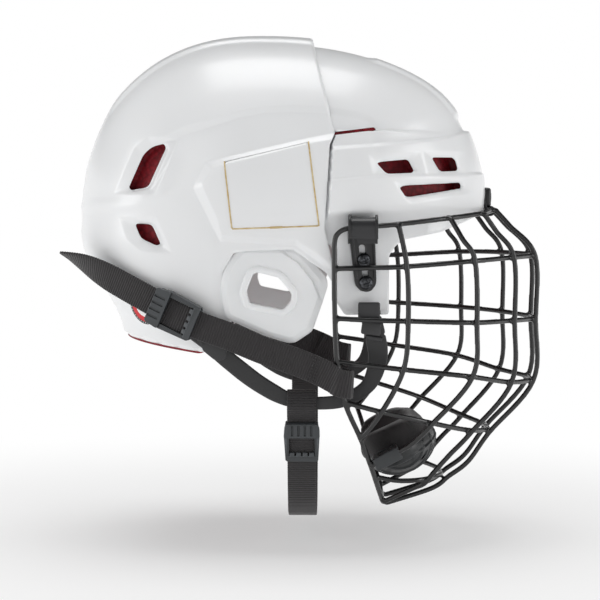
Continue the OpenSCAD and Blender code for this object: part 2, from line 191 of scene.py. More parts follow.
fuzz = add(webbing_black, "ShaderNodeTexNoise", {"Scale": 1.4, "Detail": 3.0}, Vector=(cloth, "UV"))
tone = add(webbing_black, "ShaderNodeMath", {"operation": "MULTIPLY_ADD", 1: 0.16, 2: 0.35},
           s0=(weave, 0))
mixed = add(webbing_black, "ShaderNodeMath", {"operation": "MULTIPLY_ADD", 1: 0.3},
            s0=(fuzz, "Fac"), s2=(tone, 0))
tint = ramp(webbing_black, mixed, 0, [(0.25, "#151314"), (0.8, "#2C282A")])
wire_up(webbing_black, tint, "Color", shader, "Base Color")
bump = add(webbing_black, "ShaderNodeBump", {"Strength": 0.45, "Distance": 0.0004}, Height=(weave, 0))
wire_up(webbing_black, bump, "Normal", shader, "Normal")
print("made", webbing_black.name, "rib pitch", RIB_PITCH, "mm")

# %% [markdown]
# Buckles, clips, ear loops and the chin cup are moulded in black or dark grey acetal and nylon.
# The tool is spark-eroded, which leaves a fine matte grain, and the convex edges get a painted
# highlight that turns them to the lighter colour. The pointiness of the mesh finds those edges.
# The pieces differ only in colour and roughness, so one function makes all of them.

# %% Moulded dark plastics
def moulded(name, dark, light, roughness):
    """Spark-grained moulded plastic: fine bump, uneven gloss, and a painted highlight that turns convex
    edges to the lighter colour.
    """
    mat, shader = new_material(name, {"IOR": 1.5, "Roughness": roughness})
    place = add(mat, "ShaderNodeTexCoord")
    geometry = add(mat, "ShaderNodeNewGeometry")
    patchy = add(mat, "ShaderNodeTexNoise", {"Scale": 60.0, "Detail": 4.0}, Vector=(place, "Object"))
    # Painted highlight: convex edges, found by pointiness, are pushed towards the lighter colour.
    painted_edge_highlight = add(mat, "ShaderNodeMapRange", {"From Min": 0.51, "From Max": 0.6, "To Max": 0.7},
                 Value=(geometry, "Pointiness"))
    # The colour mixes random patchy tone with the painted edge highlight.
    both = add(mat, "ShaderNodeMath", {"operation": "MULTIPLY_ADD", 1: 0.35},
               s0=(patchy, "Fac"), s2=(painted_edge_highlight, "Result"))
    tint = ramp(mat, both, 0, [(0.1, dark), (0.9, light)])
    wire_up(mat, tint, "Color", shader, "Base Color")
    gloss = add(mat, "ShaderNodeMapRange",
                {"To Min": roughness - 0.06, "To Max": roughness + 0.08}, Value=(patchy, "Fac"))
    wire_up(mat, gloss, "Result", shader, "Roughness")
    # Spark grain is about 0.3 mm; it is drawn at 0.8 mm so that it still shows.
    grain = add(mat, "ShaderNodeTexNoise", {"Scale": 1250.0, "Detail": 1.0}, Vector=(place, "Object"))
    bump = add(mat, "ShaderNodeBump", {"Strength": 0.12, "Distance": 0.0003}, Height=(grain, "Fac"))
    wire_up(mat, bump, "Normal", shader, "Normal")
    return mat


loop_black = moulded("soft_elastomer_black", "#262627", "#414143", 0.5)
buckle_grey = moulded("acetal_graphite", "#2E3133", "#565A5E", 0.4)
clip_black = moulded("nylon_black", "#111112", "#2B2B2D", 0.34)
cup_grey = moulded("nylon_graphite", "#242627", "#404346", 0.4)
print("made four moulded plastics")

# %% [markdown]
# The cage is welded from steel wire and then powder coated gloss black. The coat is thick, about
# 0.1 mm, so it has an orange peel of its own, and it reflects the studio lights as long streaks.
# It is paint over steel, so the shader stays a dielectric with a clear coat.

# %% Black powder coat
cage_black, shader = new_material("powder_coat_black", {
    "IOR": 1.5, "Roughness": 0.32, "Coat Weight": 0.3, "Coat Roughness": 0.12,
})
place = add(cage_black, "ShaderNodeTexCoord")
dust = add(cage_black, "ShaderNodeTexNoise", {"Scale": 90.0, "Detail": 5.0}, Vector=(place, "Object"))
tint = ramp(cage_black, dust, "Fac", [(0.35, "#0B0B0C"), (0.75, "#1A1A1B")])
wire_up(cage_black, tint, "Color", shader, "Base Color")
peel = add(cage_black, "ShaderNodeTexNoise", {"Scale": 700.0, "Detail": 1.0}, Vector=(place, "Object"))
bump = add(cage_black, "ShaderNodeBump", {"Strength": 0.1, "Distance": 0.0002}, Height=(peel, "Fac"))
wire_up(cage_black, bump, "Normal", shader, "Normal")

screw_black, shader = new_material("steel_black_oxide", {"Metallic": 1.0, "Roughness": 0.34})
place = add(screw_black, "ShaderNodeTexCoord")
spots = add(screw_black, "ShaderNodeTexNoise", {"Scale": 600.0, "Detail": 3.0}, Vector=(place, "Object"))
tint = ramp(screw_black, spots, "Fac", [(0.4, "#3A3B3D"), (0.7, "#626468")])
wire_up(screw_black, tint, "Color", shader, "Base Color")
print("made", cage_black.name, screw_black.name)

# %% [markdown]
# The chin pad is foam laminated with a brushed knit, which looks nearly black and has no gloss.
# Its knit is about 0.6 mm; a fine noise gives the nap, and sheen gives the pale bloom on its edges.

# %% Knit-faced pad
pad_black, shader = new_material("brushed_knit_black", {
    "IOR": 1.5, "Roughness": 0.9, "Sheen Weight": 0.35, "Sheen Roughness": 0.4,
})
place = add(pad_black, "ShaderNodeTexCoord")
nap = add(pad_black, "ShaderNodeTexNoise", {"Scale": 1600.0, "Detail": 2.0}, Vector=(place, "Object"))
worn = add(pad_black, "ShaderNodeTexNoise", {"Scale": 70.0, "Detail": 3.0}, Vector=(place, "Object"))
tint = ramp(pad_black, worn, "Fac", [(0.3, "#151314"), (0.75, "#262324")])
wire_up(pad_black, tint, "Color", shader, "Base Color")
bump = add(pad_black, "ShaderNodeBump", {"Strength": 0.3, "Distance": 0.0004}, Height=(nap, "Fac"))
wire_up(pad_black, bump, "Normal", shader, "Normal")
print("made", pad_black.name)

# %% [markdown]
# Every mesh is worked out in millimetres with numpy and turned into a Blender mesh in metres by one
# function, which also sets its material, its body and the CAD nodes that it stands for. Smooth
# shading with sharp edges above an angle keeps moulded creases crisp.

# %% Mesh helpers
def finish_mesh(obj, body, mat, replaced=(), sharp=35):
    obj.data.materials.clear()
    obj.data.materials.append(mat)
    obj.data.polygons.foreach_set("use_smooth", [True] * len(obj.data.polygons))
    obj.data.set_sharp_from_angle(angle=math.radians(sharp))
    if body:
        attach(obj, body)
    if replaced:
        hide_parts(*replaced)
    return obj


def mesh_object(name, points, faces, uv=None):
    mesh = bpy.data.meshes.new(name)
    mesh.from_pydata((np.asarray(points, float) * MM).tolist(), [], faces)
    if uv is not None:
        layer = mesh.uv_layers.new(name="UVMap")
        corners = np.zeros(len(mesh.loops), int)
        mesh.loops.foreach_get("vertex_index", corners)
        layer.data.foreach_set("uv", np.asarray(uv, np.float32)[corners].ravel())
    mesh.validate()
    obj = bpy.data.objects.new(name, mesh)
    bpy.context.scene.collection.objects.link(obj)
    return obj


def apply_modifiers(obj):
    depsgraph = bpy.context.evaluated_depsgraph_get()
    mesh = bpy.data.meshes.new_from_object(obj.evaluated_get(depsgraph))
    obj.modifiers.clear()
    obj.data = mesh
    return obj


def combine(obj, operation, tools):
    """Boolean of obj with each tool in turn; the tools are used up."""
    for tool in tools:
        cut = obj.modifiers.new("cut", "BOOLEAN")
        cut.operation = operation
        cut.solver = "MANIFOLD"
        cut.object = tool
        apply_modifiers(obj)
        bpy.data.objects.remove(tool)
    return obj


def bevelled(obj, width, segments=2, angle=30):
    edge = obj.modifiers.new("edge", "BEVEL")
    edge.width = width * MM
    edge.segments = segments
    edge.limit_method = "ANGLE"
    edge.angle_limit = math.radians(angle)
    return apply_modifiers(obj)


def join(name, objects):
    """One object from several that move together."""
    with bpy.context.temp_override(active_object=objects[0], selected_editable_objects=objects):
        bpy.ops.object.join()
    objects[0].name = name
    return objects[0]


# %% [markdown]
# The outlines of vents, band, panel and covers are drawn in the side view, as on a mould drawing.
# Three tools work on them: rounding their corners, extruding them across the helmet as a cutter,
# and measuring how far any point of the shell is from them, which drives every bevel and recess.

# %% Outline helpers
def rounded(outline, radius, steps=5):
    """The outline with each corner replaced by an arc-like curve."""
    points = np.asarray(outline, float)
    result = []
    for i, corner in enumerate(points):
        before, after = points[i - 1], points[(i + 1) % len(points)]
        reach = min(radius, 0.45 * np.linalg.norm(before - corner), 0.45 * np.linalg.norm(after - corner))
        a = corner + (before - corner) * reach / np.linalg.norm(before - corner)
        b = corner + (after - corner) * reach / np.linalg.norm(after - corner)
        for t in np.linspace(0, 1, steps):
            result.append((1 - t) ** 2 * a + 2 * t * (1 - t) * corner + t * t * b)
    return np.array(result)


def cutter(outline, y_low, y_high):
    """The outline extruded from y_low to y_high."""
    ring = np.asarray(outline, float)
    if np.sum(ring[:, 0] * np.roll(ring[:, 1], -1) - ring[:, 1] * np.roll(ring[:, 0], -1)) < 0:
        ring = ring[::-1]
    n = len(ring)
    points = [(x, y, z) for y in (y_low, y_high) for x, z in ring]
    faces = [tuple(range(n)), tuple(range(2 * n - 1, n - 1, -1))]
    faces += [(i, i + n, (i + 1) % n + n, (i + 1) % n) for i in range(n)]
    return mesh_object("cutter", points, faces)


def distance(outline, x, z):
    """Signed distance to the outline in the side view: negative inside."""
    points = np.asarray(outline, float)
    nearest = np.full(x.shape, 1e9)
    inside = np.zeros(x.shape, bool)
    for (ax, az), (bx, bz) in zip(points, np.roll(points, -1, axis=0)):
        ex, ez = bx - ax, bz - az
        t = np.clip(((x - ax) * ex + (z - az) * ez) / (ex * ex + ez * ez + 1e-12), 0, 1)
        nearest = np.minimum(nearest, np.hypot(x - ax - t * ex, z - az - t * ez))
        crosses = (az > z) != (bz > z)
        inside ^= crosses & (x < ax + (z - az) * ex / np.where(ez == 0, 1e-9, ez))
    return np.where(inside, -nearest, nearest)


def ease(t):
    t = np.clip(t, 0, 1)
    return t * t * (3 - 2 * t)


def step_between(outer, inner, x, z):
    """0 outside the outer outline, 1 inside the inner one, and a straight slope between them."""
    depth = np.maximum(0, -distance(outer, x, z))
    left = np.maximum(0, distance(inner, x, z))
    return depth / np.maximum(depth + left, 1e-6)


def lip(away, radius):
    """How far a rounded edge of that radius falls at a distance from the cut."""
    s = np.clip(away, 0, radius)
    return -(radius - np.sqrt(np.maximum(0, radius ** 2 - (radius - s) ** 2)))


# %% [markdown]
# The head form is the one the CAD uses: each level is a squarish oval whose length, width and
# height fade towards the crown as a superellipse does, with the nape drawn in below. Here it gets
# a far finer grid, and each point is then moved along its normal by the mould's features.

# %% Head form
REAR, FRONT, HALF, CROWN, SHELL_T, TUCK, BAND_RISE = 127.4, 157.0, 102.0, 183.0, 2.4, 3.9, 3.3
MID_X, LOW_Z, BROW_Z, POWER = -15.0, 60.0, 75.0, 2.3
# The grids start a little below the lowest rim, which is cut out of them later.
RIM_Z = -34


def fade(u):
    return (1 - np.clip(u, 0, 1) ** POWER) ** (1 / POWER)


def soft_table(z, places, values):
    """A table of heights read with its corners rounded over 16 mm."""
    window = np.linspace(-8, 8, 17)
    return sum(np.interp(z + w, places, values) for w in window) / len(window)


def form(inset, angles, heights):
    """Points of the head form on a grid. inset is how far in the surface lies from the rear
    shell's at the rear, front, side and crown."""
    a, z = np.meshgrid(angles, heights)
    top = CROWN - inset[3]
    c, s = np.cos(a), np.sin(a)
    rear = (REAR - inset[0]) * fade(np.maximum(0, z - LOW_Z) / (top - LOW_Z))
    # The real shell is a little fuller or flatter than a plain dome at some heights.
    flat = soft_table(z, [30, 60, 90, 107, 130, 152, 170, 183], [0, 2, 2.3, 3.6, 4.2, 6.8, 8, 9])
    rear -= flat * rear / REAR + 31 * ease((50 - z) / 75)
    front = (FRONT - inset[1]) * fade(np.maximum(0, z - BROW_Z) / (top - BROW_Z))
    flat = soft_table(z, [-34, 88, 100, 130, 148, 158, 170, 183], [2.8, 3, 4, 3.8, 1.2, 3, 6, 7])
    front -= flat * front / FRONT
    side = (HALF - inset[2]) * fade(np.maximum(0, z - LOW_Z) / (top - LOW_Z)) - 5 * ease((45 - z) / 75)
    e = 2 / POWER
    x = MID_X + np.where(c > 0, front, rear) * np.sign(c) * np.abs(c) ** e
    return np.stack([x, side * np.sign(s) * np.abs(s) ** e, z], -1)


def levels(inset, low, count):
    """Heights from the rim to the crown: closest where the features are, closing up at the top."""
    top = CROWN - inset[3]
    below = np.linspace(low, 28, int(count * 0.14), endpoint=False)
    sides = np.linspace(28, 138, int(count * 0.62), endpoint=False)
    start = np.arccos(fade((138 - LOW_Z) / (top - LOW_Z)))
    t = np.linspace(start, np.pi / 2 * 0.985, count - len(below) - len(sides))
    crown = LOW_Z + (top - LOW_Z) * (1 - np.cos(t) ** POWER) ** (1 / POWER)
    return np.concatenate([below, sides, crown])


def normals(grid):
    along = np.roll(grid, -1, 1) - np.roll(grid, 1, 1)
    up = np.gradient(grid, axis=0)
    n = np.cross(along, up)
    return n / np.maximum(np.linalg.norm(n, axis=-1, keepdims=True), 1e-9)


def shell_solid(name, outer, inner):
    """A closed skin between two grids with the same number of columns, open at the rim."""
    n = outer.shape[1]
    rows_out, rows_in = outer.shape[0], inner.shape[0]
    points = np.concatenate([outer.reshape(-1, 3), inner.reshape(-1, 3)])
    base = rows_out * n
    faces = []
    k = np.arange(n)
    following = (k + 1) % n
    for i in range(rows_out - 1):
        a = i * n
        faces.append(np.stack([a + k, a + following, a + n + following, a + n + k], 1))
    for i in range(rows_in - 1):
        a = base + i * n
        faces.append(np.stack([a + following, a + k, a + n + k, a + n + following], 1))
    faces.append(np.stack([following, k, base + k, base + following], 1))
    faces = np.concatenate(faces).tolist()
    faces.append(list(range((rows_out - 1) * n, rows_out * n)))
    faces.append(list(range(base + (rows_in - 1) * n, base + rows_in * n))[::-1])
    return mesh_object(name, points, faces)


# The columns crowd together at the sides, where the outlines are finest.
ANGLES = np.linspace(0, 2 * np.pi, 700, endpoint=False)
ANGLES = ANGLES + 0.25 * np.sin(2 * ANGLES)

# %% [markdown]
# These outlines are the helmet's character: the raised side band with its chamfered border, the
# latch panel in it, two vents behind, four in front, each sunk in a bevelled pocket, and the long
# arc where the crown overhangs the side. All are in millimetres, forward and up from the origin.

# %% Outlines of the shells' features
REAR_REGION = [(-170, 200), (20, 200), (20.5, 184), (36.5, 116), (33, 108), (29.5, 54), (35, 30),
               (35, 17), (31, 24), (9, 39), (-30, 37), (-37, 24), (-31, -6), (-40, -28), (-52, -29),
               (-115, -20.5), (-170, -20.5)]
FRONT_REGION = [(2, 200), (9, 112), (9, 54), (37, 40), (37, 5), (43, -4.3), (72.5, -4.6), (72.5, 35),
                (77, 41.5), (83, 45.5), (108, 50), (139.6, 62), (170, 62), (170, 200)]
BAND = [(-57, 80), (-49, 97), (19, 113), (45, 118), (60, 118), (60, 0), (40, 19), (33, 24.7),
        (22, 34), (10, 42.3), (-39, 44.7)]
BAND_TOP = [(-48.6, 78), (-50, 82.5), (-43.8, 92), (19, 108.3), (45, 113.4), (60, 113.4), (60, 8),
            (41, 23), (35, 28.2), (24, 37), (11, 45.4), (-37.5, 48.6), (-39.8, 59)]
LATCH = [(-36, 97), (-31, 53), (26, 55), (19, 110)]
VENTS_REAR = [
    [(-85, 107), (-77, 109), (-75.6, 106), (-87.6, 80), (-99.5, 78), (-101, 80), (-91, 102)],
    [(-97, 56), (-85, 55.5), (-79, 42.5), (-82, 41.5), (-92.5, 46)]]
POCKETS_REAR = [
    [(-111.8, 75.4), (-97, 107.2), (-88, 113.5), (-66.9, 113), (-83, 75.2)],
    [(-108, 60), (-102.5, 45), (-92, 37.5), (-70.4, 36), (-82.4, 60.5)]]
VENTS_FRONT = [
    [(36, 116.5), (62.5, 120), (64, 118), (36, 114.5)],
    [(64, 96), (67, 97), (85, 98.7), (89, 91), (87.6, 89.6), (70.4, 89)],
    [(101, 100), (116, 100), (118, 98), (120, 91), (107, 90.4)],
    [(79, 80), (82.6, 81.3), (120.7, 83), (121.8, 81), (121.4, 79), (86.3, 73.7), (83, 74)]]
POCKETS_FRONT = [
    [(56, 101), (92, 103), (96, 86.5), (60, 86.5)],
    [(94, 104), (124, 103.5), (126, 86.8), (98, 86.8)],
    [(72, 84.5), (128, 86.3), (129, 76), (84, 69)]]
ARC = [(-92, 105), (-75, 114), (-64, 119.6), (-50, 123.1), (-26.8, 130.5), (-9.8, 133.6), (7.2, 134.2),
       (32.4, 133.2), (47.8, 131.2), (58.2, 128.4), (68, 122)]
ARC_X, ARC_Z = np.array(ARC).T


def arc_drop(x, z):
    """1 just below the long arc, 0 above it, fading out towards the band and both ends."""
    below = np.interp(x, ARC_X, ARC_Z) - z
    ends = ease((x + 92) / 10) * ease((72 - x) / 12)
    return np.clip(below / 4, 0, 1) * (1 - ease((below - 12) / 30)) * ends


def rear_features(x, y, z):
    out = BAND_RISE * step_between(BAND, BAND_TOP, x, z)
    fold = np.interp(x, [-40, 45], [59, 64.5])
    out -= 0.05 * np.clip(fold - z, 0, 12) * ease((x + 44) / 6)
    # the crest that runs over the middle of the crown
    out += 1.9 * ease((34 - np.abs(y)) / 5) * ease((z - 120) / 25)
    out -= 1.9 * arc_drop(x, z)
    for vent, pocket in zip(VENTS_REAR, POCKETS_REAR):
        out -= 2.6 * step_between(pocket, vent, x, z)
    # nowhere so deep that the foam behind would come through
    out = np.maximum(out, -2.2)
    for vent in VENTS_REAR:
        out += lip(distance(rounded(vent, 3), x, z), 2.0)
    # a soft crease that runs back from the band's tip, and the rolled edge over the nape
    crease = np.interp(x, [-142, -100, -57], [66, 69, 80])
    out += 0.8 * np.exp(-((z - crease) / 5) ** 2) * ease((-58 - x) / 20)
    edge = 0.6 + 1.6 * (1 - ease((119 - z) / 5) * ease((x - 14) / 8))
    out += lip(-distance(REAR_REGION, x, z), edge)
    return out


def front_features(x, y, z):
    brow = np.interp(x, [9, 33, 76, 114, 130, 160], [104, 106, 110, 115.5, 121, 124])
    ledge = np.interp(x, [9, 33, 52, 84, 137], [84, 85, 87, 88.5, 90])
    hem = np.interp(x, [9, 33, 72, 110, 140], [62, 65, 69.5, 68, 66])
    # The front shell stands flush with the band where the two meet, and is tucked under above it.
    edge_x = np.interp(z, [54, 108, 116], [29.5, 33, 36.5])
    out = 6.7 * ease((x - edge_x - 0.5) / 0.8) * (1 - ease((x - 34) / 86))
    out *= ease((118.5 - z) / 2.5) * ease((z - 57) / 8)
    out += 1.5 * ease((brow - z) / 3.5) - 1.8 * ease((brow + 16 - z) / 14) * ease((z - brow) / 3 + 1)
    out += 1.1 * ease((ledge - z) / 2) * (1 - 0.6 * ease((ledge - 14 - z) / 10))
    out -= 1.3 * ease((hem - z) / 9) * ease((x - 30) / 20)
    out -= 1.3 * arc_drop(x, z) * ease((80 - x) / 20)
    # the raised crest along the middle of the crown
    out += 1.6 * ease((30 - np.abs(y)) / 7) * ease((x - 58) / 8) * ease((z - 126) / 5)
    for vent, pocket in zip(VENTS_FRONT[1:], POCKETS_FRONT):
        out -= 1.5 * step_between(pocket, vent, x, z)
    for vent in VENTS_FRONT:
        out += lip(distance(rounded(vent, 2.5), x, z), 1.3)
    out += lip(-distance(FRONT_REGION, x, z), 1.6)
    return out


def region_cut(obj, region, radius):
    return combine(obj, "INTERSECT", [cutter(rounded(region, radius), -150, 150)])


def vent_cut(obj, vents, radius):
    return combine(obj, "DIFFERENCE", [cutter(rounded(v, radius), -150, 150) for v in vents])


# %% Rear shell and side latches
def feature_grid(inset, features):
    """The outside of a shell, with the mould's features raised on it."""
    grid = form(inset, ANGLES, levels(inset, RIM_Z, 250))
    lift = features(grid[..., 0], grid[..., 1], grid[..., 2])
    return grid + normals(grid) * lift[..., None]


def inner_grid(inset, features):
    """The inside of a shell. It gives way where the outside is pressed in, so a skin is left."""
    grid = form(inset, ANGLES, levels(inset, RIM_Z, 120))
    lift = features(grid[..., 0], grid[..., 1], grid[..., 2])
    return grid + normals(grid) * np.minimum(0, lift + SHELL_T - 0.6)[..., None]


flush = [0, 0, 0, 0]
outer = feature_grid(flush, rear_features)
inner = inner_grid([SHELL_T] * 4, rear_features)
rear_shell = shell_solid("rear_shell_moulding", outer, inner)
region_cut(rear_shell, REAR_REGION, 1.5)
vent_cut(rear_shell, VENTS_REAR, 3)

# The latch plate is cut from the same skin, so that it lies flush in the band.
bed = form([-0.6, -0.6, -0.6, 0.5], ANGLES, levels([0.5] * 4, RIM_Z, 60))
skin = shell_solid("latch_skin", outer, bed)
latches = {}
for side, s in SIDES.items():
    plate = rounded(np.array([-5, 79]) + 0.984 * (np.array(LATCH) - [-5, 79]), 1.5)
    piece = skin.copy()
    piece.data = skin.data.copy()
    piece.name = f"latch_plate_{side}"
    bpy.context.scene.collection.objects.link(piece)
    combine(piece, "INTERSECT", [cutter(plate, *sorted((s * 70, s * 150)))])
    latches[side] = piece
bpy.data.objects.remove(skin)

lid = form([-9] * 3 + [0], ANGLES, levels(flush, RIM_Z, 60))
hollow = shell_solid("latch_hollow", lid, form([-0.2] * 3 + [0.6], ANGLES, levels([0.6] * 4, RIM_Z, 60)))
pocket = combine(hollow, "INTERSECT", [cutter(rounded(LATCH, 1.5), -150, 150)])
combine(rear_shell, "DIFFERENCE", [pocket])
finish_mesh(rear_shell, "rear_half", shell_white, ["rear_shell"], 38)
for side, piece in latches.items():
    finish_mesh(piece, f"latch_{side}", shell_white, [f"latch_{side}"], 38)
print("rear shell faces", len(rear_shell.data.polygons))

# %% Front shell
tucked = [TUCK, 0, TUCK, TUCK]
front_outer = feature_grid(tucked, front_features)
inside = [TUCK + SHELL_T, SHELL_T, TUCK + SHELL_T, TUCK + SHELL_T]
front_shell = shell_solid("front_shell_moulding", front_outer,
                          inner_grid(inside, front_features))
region_cut(front_shell, FRONT_REGION, 2)
vent_cut(front_shell, VENTS_FRONT, 2.5)
finish_mesh(front_shell, "front_half", shell_white, ["front_shell"], 38)
print("front shell faces", len(front_shell.data.polygons))

# %% [markdown]
# The foam liner is moulded in blocks with channels between them that carry air from the vents and
# let it bend. The grid is the same head form further in, with the channels pressed into its inner
# side, and shallow pockets in its outer side where it shows through the vents.

# %% Foam liners
REAR_FOAM = [(-170, 200), (-2, 200), (-2, 48), (-38, 46), (-48, 24), (-46, -26), (-52, -30.5),
             (-115, -22.3), (-170, -22.3)]
FRONT_FOAM = [(3, 200), (3, 60), (38, 42), (42, 2), (48, -2), (69, -2), (70, 37), (76, 45), (83, 49),
              (108, 53.5), (138, 66), (170, 66), (170, 200)]
FOAM_DENT = 7.0


def channel(offset, half_width, depth):
    """A rounded groove: depth at its middle and none past its half width."""
    return depth * np.sqrt(np.clip(1 - (offset / half_width) ** 2, 0, 1))


def channels(x, y, z):
    """Depth of the air channels in the liner's inner side."""
    deep = channel(np.abs(y) - 24 - 6 * np.cos(x / 40), 5, 5)
    for place in (-104, -66, -26, 26, 64, 98):
        deep = np.maximum(deep, channel(x - place - 0.12 * (z - 60), 4.5, 4.5))
    for height in (22, 68):
        deep = np.maximum(deep, channel(z - height - 0.05 * x, 4, 4) * (np.abs(y) > 40))
    return deep


def liner(name, outer_inset, inner_inset, region, body):
    outer = form(outer_inset, ANGLES, levels(outer_inset, RIM_Z, 180))
    dents = sum(FOAM_DENT * ease((3.5 - distance(rounded(v, 2.5), outer[..., 0], outer[..., 2])) / 1.5)
                for v in VENTS_REAR + VENTS_FRONT[1:])
    outer = outer - normals(outer) * dents[..., None]
    inner = form(inner_inset, ANGLES, levels(inner_inset, RIM_Z, 180))
    inner = inner + normals(inner) * channels(inner[..., 0], inner[..., 1], inner[..., 2])[..., None]
    foam = shell_solid(name, outer, inner)
    region_cut(foam, region, 4)
    finish_mesh(foam, body, liner_red, [body.replace("half", "liner")], 40)
    print(name, "faces", len(foam.data.polygons))


GAP = SHELL_T + 0.3
liner("rear_foam_liner", [GAP] * 4, [GAP + 22, GAP + 42, GAP + 13, GAP + 22], REAR_FOAM, "rear_half")
FRONT_GAP = TUCK + GAP
liner("front_foam_liner", [FRONT_GAP, GAP, FRONT_GAP, FRONT_GAP],
      [FRONT_GAP + 22, SHELL_T + 22, FRONT_GAP + 13, FRONT_GAP + 18], FRONT_FOAM, "front_half")

# %% [markdown]
# Wires, straps and loops are all sweeps: a section carried along a smooth path. The path goes
# through the same points as the CAD, joined by Catmull-Rom curves, and is then cut into
# even steps so that ribs and grain keep their pitch.

# %% Sweep helpers
def curve(points, n=8):
    p = np.asarray(points, float)
    p = np.vstack([p[:1], p, p[-1:]])
    t = (np.arange(n) / n)[:, None]
    spans = [0.5 * (2 * b + (c - a) * t + (2 * a - 5 * b + 4 * c - d) * t ** 2
                    + (3 * b - a - 3 * c + d) * t ** 3) for a, b, c, d in zip(p, p[1:], p[2:], p[3:])]
    return np.vstack(spans + [p[-1:]])


def even(path, step):
    """The path cut into even steps, and the distance along it."""
    along = np.concatenate([[0], np.cumsum(np.linalg.norm(np.diff(path, axis=0), axis=1))])
    s = np.linspace(0, along[-1], max(2, round(along[-1] / step)) + 1)
    return np.stack([np.interp(s, along, path[:, k]) for k in range(3)], 1), s


def sweep(name, path, sections, wide, uv=None):
    """A solid of sections carried along the path; sections is (rings, points, 2)."""
    tangent = np.gradient(path, axis=0)
    tangent /= np.linalg.norm(tangent, axis=1, keepdims=True)
    wide = np.broadcast_to(np.asarray(wide, float), path.shape)
    side = wide - np.sum(wide * tangent, 1, keepdims=True) * tangent
    side /= np.linalg.norm(side, axis=1, keepdims=True)
    up = np.cross(side, tangent)
    rings = path[:, None] + sections[..., :1] * side[:, None] + sections[..., 1:] * up[:, None]
    n, m = rings.shape[:2]
    k, i = np.meshgrid(np.arange(m), np.arange(n - 1) * m)
    walls = np.stack([i + k, i + (k + 1) % m, i + m + (k + 1) % m, i + m + k], -1).reshape(-1, 4)
    faces = walls.tolist() + [list(range(m))[::-1], list(range((n - 1) * m, n * m))]
    obj = mesh_object(name, rings.reshape(-1, 3), faces, uv)
    return outward(obj)


def outward(obj):
    """Turns every face of a closed mesh to point outwards."""
    shape = bmesh.new()
    shape.from_mesh(obj.data)
    bmesh.ops.recalc_face_normals(shape, faces=shape.faces)
    shape.to_mesh(obj.data)
    shape.free()
    return obj


def tube(name, points, radius, step=1.6, sides=14):
    """A round wire with domed ends."""
    path, s = even(curve(points), step)
    a = np.linspace(0, 2 * np.pi, sides, endpoint=False)
    circle = np.stack([np.cos(a), np.sin(a)], 1)
    end = np.minimum(s, s[-1] - s)
    radii = radius * np.sqrt(np.clip(1 - (1 - np.clip(end / radius, 0.02, 1)) ** 2, 0, 1))
    direction = path[-1] - path[0]
    wide = (0.1, 0.2, 1.0) if abs(direction[2]) < 0.8 * np.linalg.norm(direction) else (0.2, 1.0, 0.1)
    return sweep(name, path, radii[:, None, None] * circle, wide)


def strip_section(width, thick, corner=1.2, steps=4):
    return rounded([(-width / 2, -thick / 2), (width / 2, -thick / 2),
                    (width / 2, thick / 2), (-width / 2, thick / 2)], corner, steps)


def mirror(obj, name):
    """The same piece on the wearer's left."""
    twin = bpy.data.objects.new(name, obj.data.copy())
    bpy.context.scene.collection.objects.link(twin)
    twin.data.transform(Matrix.Scale(-1, 4, (0, 1, 0)))
    twin.data.flip_normals()
    return twin


# %% [markdown]
# Round three sides of each latch the gap shows a thread of pale amber sealing cord, with a thicker
# pull mark at the middle of its lower side. It is laid on the band's surface, found from the same
# head form and features as the shell's.

# %% Latch seam
cord_amber, shader = new_material("sealing_cord_amber", {"IOR": 1.5, "Roughness": 0.5})
place = add(cord_amber, "ShaderNodeTexCoord")
streak = add(cord_amber, "ShaderNodeTexNoise", {"Scale": 260.0, "Detail": 2.0}, Vector=(place, "Object"))
tint = ramp(cord_amber, streak, "Fac", [(0.3, "#B99A5E"), (0.7, "#D6C49A")])
wire_up(cord_amber, tint, "Color", shader, "Base Color")


def side_y(x, z, features):
    """How far out the shell's side stands at points of the side view."""
    reach = np.where(x > MID_X, FRONT, REAR)
    y = HALF * fade(np.maximum(0, z - LOW_Z) / (CROWN - LOW_Z)) * fade(np.abs(x - MID_X) / reach)
    return y + features(x, y, z)


def laid(outline, sink):
    """A path laid on the right side of the rear shell's features along a line in the side view."""
    x, z = np.asarray(outline, float).T
    keys = np.stack([x, 0 * x, z], 1)
    x, _, z = even(keys, 1.5)[0].T
    return np.stack([x, -(side_y(x, z, rear_features) - sink), z], 1)


for name, line, radius in (("latch_seam", LATCH, 0.5),
                           ("pull_mark", [(-6, 53.9), (2, 54.2)], 0.75)):
    path = laid(line, 0.1)
    cord = sweep(f"{name}_right", path,
                 np.broadcast_to(strip_section(radius * 2, radius * 2, radius * 0.8, 4), (len(path), 16, 2)),
                 (0, 1, 0))
    for obj, side in ((cord, "right"), (mirror(cord, f"{name}_left"), "left")):
        finish_mesh(obj, "rear_half", cord_amber)

# %% [markdown]
# The cage is bent from 3.6 mm steel wire, and where two wires cross they are pressed together and
# resistance welded, so each crossing has a small fillet that the powder coat rounds further. To
# get that, the tubes and a blob at each crossing are merged on a fine voxel grid and smoothed.

